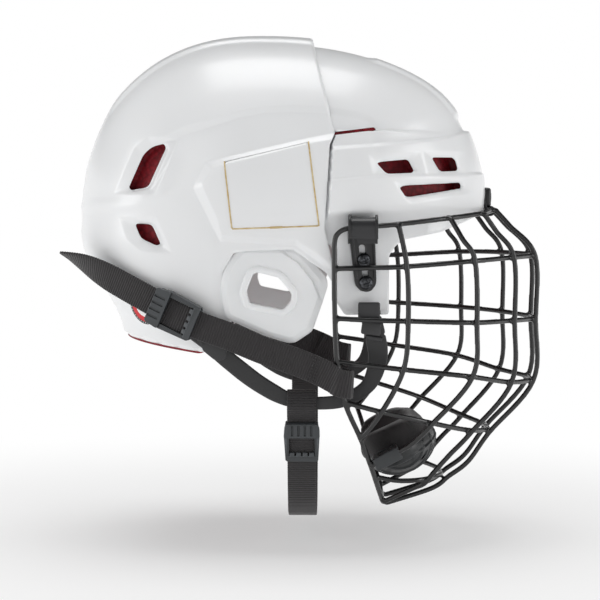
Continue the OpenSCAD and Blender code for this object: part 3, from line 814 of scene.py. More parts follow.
# %% Cage
WIRE_R = 1.8
FRAME_HALF = [
    (145, 12, 63), (144, 24, 63.2), (135.5, 51, 62), (112.5, 77, 59.5), (79, 95, 56),
    (60, 101.5, 54.5), (46, 104, 53.6), (39.5, 104, 51), (36.3, 104, 45), (36, 104, 27),
    (36.5, 104, -5.6), (38, 104, -34), (43, 102.5, -61), (54, 91, -87.5), (61.5, 68, -110),
    (66, 51, -125), (69, 38, -135), (70, 26, -138.5), (70, 0, -139.5)]
BARS = {
    "bar_eye": [(36, 104, 27), (60, 102, 27.5), (83, 96, 28), (128, 81.5, 31), (156, 49, 32),
                (173, 18, 32), (175, 0, 32)],
    "bar_cheek": [(36.5, 104, -5.6), (60, 102, -7), (84, 96, -8), (128, 81.5, -10), (156.5, 49, -11),
                  (173.5, 18, -12), (175.5, 0, -12)],
    "bar_mouth": [(38, 104, -34), (60, 101.5, -37), (81, 96, -40), (126, 81.5, -46), (155, 49, -53),
                  (172.5, 18, -55), (174.5, 0, -55)],
    "bar_jaw": [(43, 102.5, -61), (65, 97, -67.6), (99, 80, -77), (127, 49, -86), (142.5, 18, -89.5),
                (144, 0, -89.5)],
    "bar_chin": [(63.9, 58, -117), (80, 53, -120.5), (97, 47, -120.5), (110, 18, -121.5),
                 (111, 0, -121.5)]}
UPRIGHTS = [
    [(78, 97.4, 56.8), (83.8, 98.6, 28), (84.8, 98.8, -8), (81.8, 98.8, -40), (66.5, 98.8, -69.5),
     (53.5, 94, -86.5)],
    [(112.8, 79.8, 60.4), (121, 84, 46), (129.6, 84, 31), (131, 83.9, -10), (128.4, 83.7, -46),
     (100.6, 82.3, -79), (92, 79, -88.5), (86, 77, -93.6), (75, 75, -99.9), (59.5, 74.7, -108.2)],
    [(136.6, 52.9, 63.4), (146, 51.5, 50), (158.3, 50.8, 32), (159, 50.8, -11), (157.2, 50.8, -53),
     (129.5, 50, -88), (114.8, 50, -103.5), (104, 48.5, -116), (98, 46.5, -123.5),
     (90, 43, -127.5), (69.2, 38.3, -138)],
    [(146.6, 18.5, 65.4), (158, 18, 53), (175.9, 18.3, 32), (176.5, 18.3, -12), (175.2, 18.3, -55),
     (144.7, 18, -91.5), (130, 18, -112), (116, 18, -122.8), (109, 18, -128.7), (98, 18, -133.5),
     (71, 18, -142)]]


def flip(points):
    return [(x, -y, z) for x, y, z in reversed(points)]


def right(points):
    return [(x, -y, z) for x, y, z in points]


wires = {"cage_frame": FRAME_HALF + flip(FRAME_HALF[:-1])}
wires |= {name: half + flip(half[:-1]) for name, half in BARS.items()}
for number, points in enumerate(UPRIGHTS, 1):
    wires[f"upright_{number}_left"] = points
    wires[f"upright_{number}_right"] = right(points)
# The hinge wire closes the frame across the brow, at its true size, for it turns in the clip.
wires["hinge_wire"] = [(145, 12.5, 63), (145, 0, 63), (145, -12.5, 63)]
tubes = [tube(name, points, WIRE_R + 0.06 * (name != "hinge_wire")) for name, points in wires.items()]

lines = {name: even(curve(points), 1.0)[0] for name, points in wires.items()}
welds = 0
for first, second in itertools.combinations(lines, 2):
    gaps = np.linalg.norm(lines[first][:, None] - lines[second][None], axis=2)
    while gaps.min() < 2 * WIRE_R + 0.4:
        i, j = np.unravel_index(gaps.argmin(), gaps.shape)
        middle = (lines[first][i] + lines[second][j]) / 2
        blob = bmesh.new()
        bmesh.ops.create_icosphere(blob, subdivisions=2, radius=2.0 * MM)
        bmesh.ops.translate(blob, verts=blob.verts, vec=Vector(middle) * MM)
        mesh = bpy.data.meshes.new("weld")
        blob.to_mesh(mesh)
        blob.free()
        tubes.append(bpy.data.objects.new("weld", mesh))
        bpy.context.scene.collection.objects.link(tubes[-1])
        gaps[max(0, i - 14):i + 15, max(0, j - 14):j + 15] = 99
        welds += 1

cage = join("wire_cage", tubes)
merge = cage.modifiers.new("merge", "REMESH")
merge.mode = "VOXEL"
merge.voxel_size = 0.8 * MM
relax = cage.modifiers.new("relax", "SMOOTH")
relax.factor = 0.5
relax.iterations = 5
apply_modifiers(cage)
finish_mesh(cage, "cage", cage_black, [n for n in wires if n != "hinge_wire"], 180)
print("cage welds", welds, "faces", len(cage.data.polygons))

# %% [markdown]
# Each ear cover is a plate with a bevel round its edge, a flat face that steps down to a flange in
# front, and a raised rim round the sound opening. Rings blended from the outer outline to the opening's
# outline give a clean mesh, and the height of each point follows its distances from the two.

# %% Ear covers
COVER = [(-24.5, 41.5), (-32, 34), (-37, 25), (-39, 16), (-38.6, 6), (-36, -6), (-9, -18), (5, -22.3),
         (10, -22.3), (21.8, -14.5), (28.6, 5), (32, 16), (31, 21), (19, 35), (11, 41.5)]
EAR_HOLE = [(-17.5, 23), (-14, 24.3), (-0.5, 21), (8, 10.5), (7.3, 5), (2.4, 0), (-19.6, 4.4),
            (-21.7, 12)]
COVER_CREASE = [(-4.8, 42), (11.9, 30.5), (21.4, 18.6), (27.8, 3.5), (30, -20)]


def around(outline, centre, count):
    """Points where rays from the centre meet the outline, at even angles."""
    ring = np.asarray(outline, float) - centre
    angle = np.unwrap(np.arctan2(ring[:, 1], ring[:, 0]))
    if angle[-1] < angle[0]:
        ring, angle = ring[::-1], angle[::-1]
    ring = np.vstack([ring, ring[:1]])
    angle = np.append(angle, angle[0] + 2 * np.pi)
    fine = np.linspace(0, 1, 40)[:, None, None]
    line = (ring[:-1] * (1 - fine) + ring[1:] * fine).transpose(1, 0, 2).reshape(-1, 2)
    theta = np.unwrap(np.arctan2(line[:, 1], line[:, 0]))
    wanted = theta[0] + np.linspace(0, 2 * np.pi, count, endpoint=False)
    radius = np.interp(wanted, theta, np.linalg.norm(line, axis=1))
    return centre + np.stack([np.cos(wanted), np.sin(wanted)], 1) * radius[:, None], wanted


def cover_height(ring):
    x, z = ring[..., 0], ring[..., 1]
    inside = -distance(rounded(COVER, 3), x, z)
    from_hole = distance(rounded(EAR_HOLE, 2.2), x, z)
    height = 98.3 + 1.3 * np.sqrt(np.clip(inside / 1.0, 0, 1)) + 1.8 * np.clip((inside - 0.8) / 3.5, 0, 1)
    crease_x, crease_z = np.array(COVER_CREASE).T
    past = x - np.interp(-z, -crease_z, crease_x)
    height -= 1.8 * np.clip(past / 1.1, 0, 1)
    rim = np.clip(1 - np.abs(from_hole - 2.2) / 2.4, 0, 1)
    return height + 1.7 * np.sqrt(1 - (1 - rim) ** 2) - 0.9 * (from_hole < 0.4)


centre = np.array([-7.0, 11.5])
edge, turn = around(rounded(COVER, 3), centre, 260)
hole, _ = around(rounded(EAR_HOLE, 2.2), centre, 260)
_, start = around(rounded(EAR_HOLE, 2.2), centre, 260)
hole = np.roll(hole, -int(round((turn[0] - start[0]) / (2 * np.pi) * 260)), axis=0)
share = np.linspace(0, 1, 70)[:, None, None]
face_rings = edge * (1 - share) + hole * share
heights = cover_height(face_rings)
top = np.stack([face_rings[..., 0], -heights, face_rings[..., 1]], -1)
back = np.stack([face_rings[::-12, :, 0], np.full(face_rings[::-12, :, 0].shape, -95.6),
                 face_rings[::-12, :, 1]], -1)
loops = np.concatenate([top, back, top[:1]])[:-1]
n, m = loops.shape[:2]
k, i = np.meshgrid(np.arange(m), np.arange(n))
faces = np.stack([i * m + k, i * m + (k + 1) % m, (i + 1) % n * m + (k + 1) % m, (i + 1) % n * m + k], -1)
ear_right = outward(mesh_object("ear_cover_right_moulding", loops.reshape(-1, 3),
                                faces.reshape(-1, 4).tolist()))
ear_left = mirror(ear_right, "ear_cover_left_moulding")
for obj, side in ((ear_right, "right"), (ear_left, "left")):
    finish_mesh(obj, "rear_half", ear_milky, [f"ear_cover_{side}"], 40)
print("ear cover faces", len(ear_right.data.polygons))

# %% [markdown]
# The ear loops are soft moulded straps that swing from a socket under the front shell to a tab on
# the rear shell. The section is a rounded strip. The front end moves with the front shell when
# the size is changed, but here the loop is built as one piece and not attached to either half.

# %% Ear loops
LOOP = [(59, 96.5, 3), (60.5, 96, -6), (63.5, 92, -19), (65, 88.5, -34), (59, 87, -51),
        (44, 86.5, -61), (26, 86.5, -63.5), (7, 86.5, -61.5), (-13, 87.5, -51), (-31, 91, -37),
        (-43, 94.5, -26), (-52, 94.5, -15)]


def block(size, at=(0, 0, 0), edge=0.6, turn=(0, 0, 0)):
    """A moulded block with rounded edges, centred at a point."""
    shape = bmesh.new()
    bmesh.ops.create_cube(shape, size=1)
    for vert in shape.verts:
        vert.co = Vector([c * s * MM for c, s in zip(vert.co, size)])
    bmesh.ops.bevel(shape, geom=shape.edges[:], offset=edge * MM, segments=3, profile=0.5,
                    affect="EDGES")
    mesh = bpy.data.meshes.new("block")
    shape.to_mesh(mesh)
    shape.free()
    obj = bpy.data.objects.new("block", mesh)
    bpy.context.scene.collection.objects.link(obj)
    return turned(obj, at, turn)


def turned(obj, at, *turns):
    """Turns a part about its own origin, one (x, y, z) turn in degrees after another, then moves it."""
    matrix = Matrix.Identity(3)
    for turn in turns:
        matrix = Euler([math.radians(a) for a in turn], "XYZ").to_matrix() @ matrix
    obj.data.transform(Matrix.Translation(Vector(at) * MM) @ matrix.to_4x4())
    return obj


def plate(outline, low, high, corner=1.0, edge=0.5):
    """A flat moulding in X-Y from low to high, with rounded corners and edges."""
    slab = turned(cutter(rounded(outline, corner), -high, -low), (0, 0, 0), (-90, 0, 0))
    return bevelled(slab, edge, 3) if edge else slab


path, s = even(curve(right(LOOP)), 0.9)
section = strip_section(4.0, 8.5)
# A shallow channel runs along the outer face, and the two grooves are where the halves telescope.
sections = np.broadcast_to(section, (len(path), *section.shape)).copy()
broad = np.interp(s, [0, 30, 48, 60, 95, 111, 125, 150, 187], [1.6, 1.6, 1.35, 1.1, 1, 1.05, 1.3, 1.4, 1.3])
sections[..., 1] *= broad[:, None]
for groove in (8.5, 22.0, s[-1] - 16):
    sections *= (1 - 0.16 * np.exp(-((s - groove) / 0.9) ** 2))[:, None, None]
loop = sweep("ear_loop_right_moulding", path, sections, (0, 1, 0))
parts = [
    block((14.5, 4.4, 13), (59, -96.7, -2), 1.2),
    block((13, 5.2, 9.5), (60.6, -95.2, -12.5), 1.4, (0, 8, 0)),
    block((11, 5.0, 3.0), (62.5, -93.4, -19.5), 0.9, (0, 10, 0)),
    turned(block((19, 3.2, 14.5), (0, 0, 0), 1.2), (-53, -94, -16), (0, 35, 0), (0, 0, -14)),
    turned(plate([(-9, -5.5), (5, -5.5), (9, 0), (5, 5.5), (-9, 5.5)], -1.4, 1.4, 3.5, 0.6),
           (-42, -97, -27.5), (90, 0, 0), (0, 38, 0), (0, 0, -10)),
]
combine(loop, "UNION", parts)
loop_left = mirror(loop, "ear_loop_left_moulding")
for obj, side in ((loop, "right"), (loop_left, "left")):
    finish_mesh(obj, None, loop_black, [f"ear_loop_{side}"], 40)
    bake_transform(obj)
print("ear loop faces", len(loop.data.polygons))

# %% [markdown]
# The straps are real ribbons with rounded selvedges. Every rib is in the mesh, five rings to a rib,
# because webbing this close to the eye shows its ribs along the edge as well as on its face.

# %% Webbing
STRAP_W, CAGE_STRAP_W, STRAP_T = 19.5, 18.4, 1.7


def webbing(name, points, wide, width=STRAP_W):
    path, s = even(curve(points, 10), RIB_PITCH / 5)
    wide = np.asarray(wide, float)
    if wide.ndim == 2:
        t = np.linspace(0, 1, len(wide))
        wide = np.stack([np.interp(s / s[-1], t, wide[:, k]) for k in range(3)], 1)
    across = np.array([-1, -0.985, -0.93, -0.6, -0.2, 0.2, 0.6, 0.93, 0.985, 1])
    level = np.array([0, 0.75, 1, 1.04, 1.0, 1.0, 1.04, 1, 0.75, 0])
    a = np.concatenate([across, across[-2:0:-1]]) * width / 2
    b = np.concatenate([level, -level[-2:0:-1]]) * STRAP_T / 2
    wave = np.cos(2 * np.pi * s / RIB_PITCH)[:, None]
    sections = np.stack([a * (1 + 0.008 * wave), b * (1 + 0.14 * wave)], -1)
    uv = np.stack(np.broadcast_arrays(s[:, None], a), -1).reshape(-1, 2)
    return sweep(name, path, sections, wide, uv)


def stitches(line, along, size=(2.3, 0.7, 0.5), count=9):
    """A row of thread stitches laid at even steps on a line, each with its length along a direction."""
    start, end = np.asarray(line, float)
    row = []
    for t in np.linspace(0.06, 0.94, count):
        bead = bmesh.new()
        bmesh.ops.create_icosphere(bead, subdivisions=1, radius=0.5)
        mesh = bpy.data.meshes.new("stitch")
        bead.to_mesh(mesh)
        bead.free()
        frame_x = Vector(along).normalized()
        normal = frame_x.cross(Vector(end - start)).normalized()
        basis = Matrix((frame_x, normal.cross(frame_x), normal)).transposed().to_4x4()
        mesh.transform(Matrix.Translation(Vector(start + (end - start) * t) * MM) @ basis
                       @ Matrix.Diagonal((*[c * MM for c in size], 1)))
        obj = bpy.data.objects.new("stitch", mesh)
        bpy.context.scene.collection.objects.link(obj)
        row.append(obj)
    return row


STRAP_PATH = [
    (48, 105, -49), (46, 109, -49), (39, 110, -47.5), (34, 107.5, -44.6), (25, 105, -40),
    (10, 104, -34), (-12, 104, -26.2), (-32, 104.4, -17.9), (-52, 103, -10.9), (-70, 98.7, -3.5),
    (-86, 92.6, 5.5), (-102, 84.3, 13.5), (-118, 75, 21.5), (-132, 66.8, 28), (-146, 60.5, 33.5)]
STRAP_BACK = [(48, 105, -49), (46, 99, -49), (40, 98.5, -47.7), (34, 101.5, -44.6), (25, 103, -40)]
# The strap is upright in its eye on the wire and turns nearly flat at its free tip.
place, turn = np.linspace(0, 28, 60), np.zeros(60)
turn = np.radians(np.interp(place, [20, 23, 25.4, 27.1, 28], [0, 8, 40, 66, 80]))
lean = np.where(place < 8, 0.05, 0.3)
strap_wide = np.stack([lean * np.cos(turn), -np.sin(turn), np.cos(turn)], 1)
front_run = webbing("cage_strap_right_webbing", right(STRAP_PATH), strap_wide, CAGE_STRAP_W)
fold_run = webbing("fold", right(STRAP_BACK), (0.05, 0, 1), CAGE_STRAP_W)
slope = np.array([-15, 0, 6.0])
rows = []
for place in (24.5, 21.5):
    low = np.array([place - 2.7, -106.0, -40 + (25 - place) * 0.4 - 8.6])
    rows += stitches((low, low + np.array([5.2, 0, 17.2])), slope)
strap_right = join("cage_strap_right_webbing", [front_run, fold_run] + rows)
strap_left = mirror(strap_right, "cage_strap_left_webbing")
for obj, side in ((strap_right, "right"), (strap_left, "left")):
    finish_mesh(obj, f"strap_{side}", webbing_black, [f"cage_strap_{side}"], 60)

RUN_MID, RUN_LEAN = (83.4, -89), math.radians(21.3)
FOLD = [(84.6, -74.4), (83.2, -69.5), (82.8, -62.5), (83.3, -57.5), (86.4, -55.2), (90, -57.2)]
run = [(RUN_MID[0] - k * 6.5 * math.sin(RUN_LEAN), RUN_MID[1] - k * 6.5 * math.cos(RUN_LEAN))
       for k in range(-4, 5)]
SAG = [(66.5, -126.5), (57, -137), (44, -144), (22, -148.4)]
half = [(14.5, y, z) for y, z in FOLD + run + SAG]
chin_strap = webbing("chin_strap_webbing", half + [(14.5, 0, -149)] + flip(half), (1, 0, 0))
finish_mesh(chin_strap, "rear_half", webbing_black, ["chin_strap"], 60)
print("strap faces", len(strap_right.data.polygons), len(chin_strap.data.polygons))

# %% [markdown]
# A ladder buckle grips webbing between a wide thumb bar and a toothed bar, held apart by two side
# rails. It is made as moulders make it: one frame, with finger grooves in the thumb bar and teeth
# along the far bar. All edges have a small radius so that they catch the light.

# %% Ladder buckles
def ladder_buckle(name, length, width):
    """Lies in X-Y with the webbing along X through its middle; the thumb bar is at -X."""
    x, y = length / 2, width / 2
    thumb = [(-x, -y), (-x + 10.5, -y - 1.2), (-x + 10.5, y + 1.2), (-x, y)]
    bar = plate(thumb, 1.15, 4.9, 1.6, 0.9)
    grooves = [block((8.2, 1.5, 2.0), (-x + 4.6, g * width / 5.2, 5.0), 0.5) for g in (-1.5, -0.5, 0.5, 1.5)]
    combine(bar, "DIFFERENCE", grooves)
    parts = [plate([(-x + 1, -y), (-x + 10, -y), (-x + 10, y), (-x + 1, y)], -3, -1.15, 1.2, 0.4)]
    for side in (-1, 1):
        rail = [(-x + 6, side * (y - 2.6)), (x - 1.5, side * (y - 2.3)), (x - 0.5, side * y),
                (-x + 9, side * (y + 1.0)), (-x + 5, side * (y + 0.6))]
        parts.append(plate(rail, -2.9, 3.1, 0.8, 0.6))
    parts.append(plate([(x - 4.4, -y + 0.6), (x, -y + 0.6), (x, y - 0.6), (x - 4.4, y - 0.6)],
                       1.15, 3.2, 0.8, 0.5))
    parts.append(plate([(x - 6, -y + 0.6), (x, -y + 0.6), (x, y - 0.6), (x - 6, y - 0.6)],
                       -3, -1.15, 0.8, 0.4))
    for k in range(4):
        tooth = (k - 1.5) * width / 5
        parts.append(block((3.2, 3.4, 1.9), (x - 5.0, tooth, 2.2), 0.6, (0, -10, 0)))
    combine(bar, "UNION", parts)
    bar.name = name
    return bar


buckle = turned(ladder_buckle("cage_buckle_right_moulding", 33, 24),
                (-69.5, -98.9, -3.2), (90, 0, 0), (0, 24, 0), (0, 0, -17))
buckle_left = mirror(buckle, "cage_buckle_left_moulding")
for obj, side in ((buckle, "right"), (buckle_left, "left")):
    finish_mesh(obj, f"strap_{side}", buckle_grey, [f"cage_buckle_{side}"], 35)
chin_buckle = turned(ladder_buckle("chin_buckle_moulding", 29, 22),
                     (14.5, -RUN_MID[0], RUN_MID[1]), (0, 90, -90), (math.degrees(RUN_LEAN), 0, 0))
finish_mesh(chin_buckle, "chin_buckle", buckle_grey, ["chin_buckle"], 35)
print("buckle faces", len(buckle.data.polygons))

# %% [markdown]
# The cheek clips are nylon plates screwed to the front shell. The top bends over the cage's wire as
# a hook with a rib on each edge. A slotted hole behind each screw lets the clip be set up or down.
# The screws are pan heads with a cross recess.

# %% Cheek clips and screws
def lathe(name, profile, count=40):
    """A turned solid about Z from (radius, height) points that start and end on the axis."""
    a = np.linspace(0, 2 * np.pi, count, endpoint=False)
    rings = [np.stack([r * np.cos(a), r * np.sin(a), np.full(count, h)], 1) for r, h in profile]
    m = count
    faces = [list(range(m))[::-1]]
    for i in range(len(rings) - 1):
        faces += [[i * m + k, i * m + (k + 1) % m, (i + 1) * m + (k + 1) % m, (i + 1) * m + k]
                  for k in range(m)]
    faces.append(list(range((len(rings) - 1) * m, len(rings) * m)))
    return outward(mesh_object(name, np.concatenate(rings), faces))


CLIP_X, CLIP_TURN = 55.5, 14.5
clip_outline = [(-10.6, 19), (-6.1, -18), (-5.2, -21), (-2, -24.2), (1.5, -25), (5, -24.2), (8, -20.5),
                (8.5, -17), (7.6, 8), (7.4, 19)]
j_clip = bevelled(cutter(rounded(clip_outline, 2.5, 6), -1.5, 1.5), 0.5, 3)
raised = [bevelled(cutter(rounded([(x0, 17), (x1, -16), (x1 + 1.5, -16), (x0 + 1.5, 17)], 0.5),
                          -2.4, 1), 0.4, 2) for x0, x1 in ((-9.6, -5.9), (5.4, 6.4))]
combine(j_clip, "UNION", raised)
holes = [cutter(rounded(slot, 2.2, 8), -6, 6) for slot in (
    [(-3.9, 6.4), (1.0, 6.4), (1.9, -6), (-2.7, -6)], [(-1.7, -8.4), (3.0, -8.4), (3.6, -21), (-0.9, -21)])]
combine(j_clip, "DIFFERENCE", holes)
turned(j_clip, (CLIP_X, -92.6, 36), (0, 0, CLIP_TURN))
HOOK = [(-94.0, 43), (-94.2, 50), (-94.7, 55), (-97.0, 58.6), (-101.5, 59.6), (-105.6, 58.8),
        (-107.7, 56), (-108.0, 52), (-108.0, 46.5)]
hook_path, hook_s = even(curve([(CLIP_X - 0.6, y, z) for y, z in HOOK]), 0.8)
hook = sweep("hook", hook_path, np.broadcast_to(strip_section(18, 2.2, 0.6), (len(hook_path), 16, 2)),
             (1, 0, 0))
ribs = []
for x in (CLIP_X - 9.4, CLIP_X + 8.2):
    rib_path = hook_path + np.array([x - CLIP_X + 0.6, 0, 0])
    fan = np.interp(hook_s, [0, 14, 22, 34, hook_s[-1]], [1, 1.3, 2.4, 1.6, 0.9])
    section = strip_section(2.0, 2.4, 0.6)
    ribs.append(sweep("rib", rib_path, section[None] * np.stack([np.ones_like(fan), fan], 1)[:, None],
                      (1, 0, 0)))
combine(j_clip, "UNION", [hook] + ribs)
j_clip.name = "cheek_clip_right"
clip_left = mirror(j_clip, "cheek_clip_left")
for obj, side in ((j_clip, "right"), (clip_left, "left")):
    finish_mesh(obj, "front_half", clip_black, [f"j_clip_{side}"], 35)

PAN_HEAD = [(0.2, -4), (1.9, -4), (2.1, -3.6), (2.1, 1.0), (4.5, 1.0), (4.7, 1.3), (4.65, 1.9),
            (4.2, 2.7), (3.2, 3.25), (1.8, 3.5), (0.2, 3.55)]
for level, across, height in (("upper", -0.3, 32.3), ("lower", 1.2, 17.3)):
    screw = lathe("screw", PAN_HEAD)
    cross = [block((5.0, 1.15, 2.4), (0, 0, 3.5), 0.2, (0, 0, angle)) for angle in (20, 110)]
    cross.append(block((2.0, 2.0, 3.6), (0, 0, 3.3), 0.3, (0, 0, 20)))
    combine(screw, "DIFFERENCE", cross)
    turned(screw, (CLIP_X + across, -92.6, height), (90, 0, 0), (0, 0, CLIP_TURN))
    screw.name = f"screw_{level}_right_head"
    for obj, side in ((screw, "right"), (mirror(screw, f"screw_{level}_left_head"), "left")):
        finish_mesh(obj, "front_half", screw_black, [f"screw_{level}_{side}"], 35)
print("clip faces", len(j_clip.data.polygons))

# %% [markdown]
# The cage turns on its top wire in one wide clip at the forehead. The clip is a nylon strip that
# wraps the wire, with a thicker plate above it and the head of the rivet that holds it.

# %% Forehead clip
HINGE = np.array([145.0, 63.0])
wrap = [(141.2, 78), (141.2, 74), (141.0, 69.5)]
wrap += [tuple(HINGE + 2.85 * np.array([math.cos(a), math.sin(a)]))
         for a in np.radians(np.linspace(150, 455, 14))]
clip_path, _ = even(curve([(x, 0, z) for x, z in wrap]), 0.7)
brow_clip = sweep("forehead_clip_moulding", clip_path,
                  np.broadcast_to(strip_section(22, 1.6, 0.5), (len(clip_path), 16, 2)), (0, 1, 0))
pad_plate = block((5.2, 20, 13.8), (143.1, 0, 72.3), 1.9)
rivet = turned(lathe("rivet", [(0.2, 0), (4.2, 0), (4.3, 0.8), (3.4, 1.7), (0.2, 2.0)]), (144.6, 0, 72.5),
               (0, 90, 0))
combine(brow_clip, "UNION", [pad_plate, rivet])
finish_mesh(brow_clip, "front_half", clip_black, ["forehead_clip"], 35)

# %% [markdown]
# The chin cup is a stiff nylon bowl that hangs on the cage's lower wires by two snap-on boxes. Ribs
# stiffen it and slots let air through. The bowl is half an ellipsoid worked as a grid, with the
# ribs raised on it before the slots are cut.

# %% Chin cup and its clips
CUP_AT, CUP_TURN = (82.5, 0, -100), (0, -28, 0)


def half_bowl(size, rows, count, lift=None):
    u = np.linspace(0, 2 * np.pi, count, endpoint=False)
    v = np.linspace(0, np.pi / 2 * 0.97, rows)
    uu, vv = np.meshgrid(u, v)
    grid = np.stack([size[0] * np.cos(vv) * np.cos(uu), size[1] * np.cos(vv) * np.sin(uu),
                     -size[2] * np.sin(vv)], -1)
    if lift is not None:
        away = grid / np.array(size) ** 2
        grid = grid + away / np.linalg.norm(away, axis=-1, keepdims=True) * lift(grid)[..., None]
    return grid


def cup_ribs(grid):
    x, y, z = grid[..., 0], grid[..., 1], grid[..., 2]
    rib = sum(ease(1 - np.abs(np.abs(y) - place) / 1.6) for place in (13, 31, 45))
    belt = ease(1 - np.abs(z + 6.5) / 1.6)
    return 1.1 * np.clip(rib + belt, 0, 1) * ease(-z / 2.5)


outer = half_bowl((26, 56, 21), 90, 320, cup_ribs)
inner = half_bowl((23.6, 53.6, 18.6), 40, 320)
# The grid runs from the rim down, so it is turned over to suit the shell maker and back again.
cup = outward(shell_solid("chin_cup_moulding", outer * (1, -1, -1), inner * (1, -1, -1)))
turned(cup, (0, 0, 0), (180, 0, 0))
slots = [block((40, 5.5, 4.2), (20, y, -11.5), 1.8) for y in (-38, -22, 22, 38)]
slots += [block((8, 10, 30), (x, 0, -15), 3.0) for x in (-9, 9)]
combine(cup, "DIFFERENCE", slots)
turned(cup, CUP_AT, CUP_TURN)
finish_mesh(cup, "cage", cup_grey, ["chin_cup"], 35)

snap = block((18, 30, 7.0), (0, 0, 0), 1.1)
snap_parts = [block((19, 2.0, 8.6), (0, y, 0), 0.6) for y in (-14, -7)]
snap_parts += [block((4.5, 22, 8.4), (x, -4, 0), 0.7) for x in (-6.5, 6.5)]
combine(snap, "UNION", snap_parts)
combine(snap, "DIFFERENCE", [block((9, 4, 4), (0, -10.5, 4.4), 0.6), block((7, 5, 9), (0, 8, 4.4), 0.6)])
turned(snap, (72, -62.3, -102.4), CUP_TURN)
snap.name = "cup_clip_right_moulding"
for obj, side in ((snap, "right"), (mirror(snap, "cup_clip_left_moulding"), "left")):
    finish_mesh(obj, "cage", cup_grey, [f"cup_clip_{side}"], 35)
print("cup faces", len(cup.data.polygons))

# %% [markdown]
# The pad in the cup is soft foam in a knit cover. It is first built as a plain closed form, a
# little small, then remeshed and blown up with Blender's cloth simulation, which rounds it and
# pulls its cover tight as real stuffing does. Its points may move only a few millimetres.

# %% Chin pad
def bowl(size, at=(0, 0, 0)):
    """A whole ellipsoid, for cutting and filling."""
    shape = bmesh.new()
    bmesh.ops.create_uvsphere(shape, u_segments=72, v_segments=40, radius=MM)
    mesh = bpy.data.meshes.new("bowl")
    shape.to_mesh(mesh)
    shape.free()
    mesh.transform(Matrix.Translation(Vector(at) * MM) @ Matrix.Diagonal((*size, 1)))
    obj = bpy.data.objects.new("bowl", mesh)
    bpy.context.scene.collection.objects.link(obj)
    return obj


def pad_form():
    """The pad before it swells: deep in the cup below, high above its rim, hollowed for the chin."""
    u = np.linspace(0, 2 * np.pi, 72, endpoint=False)
    plan = np.stack([-3 + 26 * np.cos(u), 53 * np.sin(u)], 1)
    side = [(-27.5, 1), (-27.5, 8), (-22, 18), (-16, 20), (5, 18.5), (18.5, 14), (22.5, 6), (22.5, 1)]
    above = combine(cutter(side, -58, 58), "INTERSECT", [plate(plan, 0, 30, 0.5, 0)])
    below = combine(bowl((22, 52, 17)), "DIFFERENCE", [block((90, 130, 40), (0, 0, 21.5), 0.1)])
    combine(above, "UNION", [below])
    combine(above, "DIFFERENCE", [bowl((24.5, 40, 22.5), (-8, 0, 26))])
    above.name = "chin_pad_cushion"
    return above


def swell(obj, voxel, cap, pressure=1.5, frames=15):
    """Blows a padded form up with cloth pressure and keeps each point within cap of its start."""
    merge = obj.modifiers.new("merge", "REMESH")
    merge.mode = "VOXEL"
    merge.voxel_size = voxel * MM
    soften = obj.modifiers.new("soften", "SMOOTH")
    soften.iterations = 6
    apply_modifiers(obj)
    before = np.zeros(len(obj.data.vertices) * 3)
    obj.data.vertices.foreach_get("co", before)
    cloth = obj.modifiers.new("cover", "CLOTH")
    cloth.settings.use_pressure = True
    cloth.settings.uniform_pressure_force = pressure
    cloth.settings.effector_weights.gravity = 0
    for step in range(1, frames + 1):
        bpy.context.scene.frame_set(step)
    apply_modifiers(obj)
    bpy.context.scene.frame_set(1)
    after = np.zeros_like(before)
    obj.data.vertices.foreach_get("co", after)
    move = (after - before).reshape(-1, 3)
    length = np.maximum(np.linalg.norm(move, axis=1, keepdims=True), 1e-9)
    after = before.reshape(-1, 3) + move / length * np.minimum(length, cap * MM)
    obj.data.vertices.foreach_set("co", after.ravel())
    obj.data.update()
    print(obj.name, "moved up to", round(float(length.max()) * 1000, 1), "mm")
    settle = obj.modifiers.new("settle", "SMOOTH")
    settle.iterations = 3
    fine = obj.modifiers.new("fine", "SUBSURF")
    fine.levels = 1
    return apply_modifiers(obj)


chin_pad = swell(pad_form(), 2.4, 1.0)
turned(chin_pad, CUP_AT, CUP_TURN)
finish_mesh(chin_pad, "cage", pad_black, ["chin_pad"], 180)
print("pad faces", len(chin_pad.data.polygons))

# %% [markdown]
# A small round sizing label sits behind the right buckle. The real one carries lettering, which is
# left out: here it is only a black ring with pale ticks, a red ring and a white middle. The label
# keeps its own radius and angle as UV, and the material turns those into rings and ticks.

# %% Size label
LABEL_R = 13.5
label_vinyl, shader = new_material("printed_vinyl_label", {"Roughness": 0.32, "IOR": 1.5})
polar = add(label_vinyl, "ShaderNodeUVMap", {"uv_map": "UVMap"})
split = add(label_vinyl, "ShaderNodeSeparateXYZ", Vector=(polar, "UV"))
rings = ramp(label_vinyl, split, "X", [(0.0, "#F2F2F2"), (0.52, "#D2232A"), (0.8, "#1A1A1A"),
                                       (0.93, "#E9E9E9")])
rings.color_ramp.interpolation = "CONSTANT"
tick = add(label_vinyl, "ShaderNodeMath", {"operation": "MULTIPLY", 1: 2 * math.pi * 36}, s0=(split, "Y"))
pulse = add(label_vinyl, "ShaderNodeMath", {"operation": "SINE"}, s0=(tick, 0))
on = add(label_vinyl, "ShaderNodeMath", {"operation": "GREATER_THAN", 1: 0.35}, s0=(pulse, 0))
band_low = add(label_vinyl, "ShaderNodeMath", {"operation": "GREATER_THAN", 1: 0.845}, s0=(split, "X"))
band_high = add(label_vinyl, "ShaderNodeMath", {"operation": "LESS_THAN", 1: 0.885}, s0=(split, "X"))
both = add(label_vinyl, "ShaderNodeMath", {"operation": "MULTIPLY"}, s0=(band_low, 0), s1=(band_high, 0))
mask = add(label_vinyl, "ShaderNodeMath", {"operation": "MULTIPLY"}, s0=(both, 0), s1=(on, 0))
mix = add(label_vinyl, "ShaderNodeMix", {"data_type": "RGBA"}, Factor=(mask, 0))
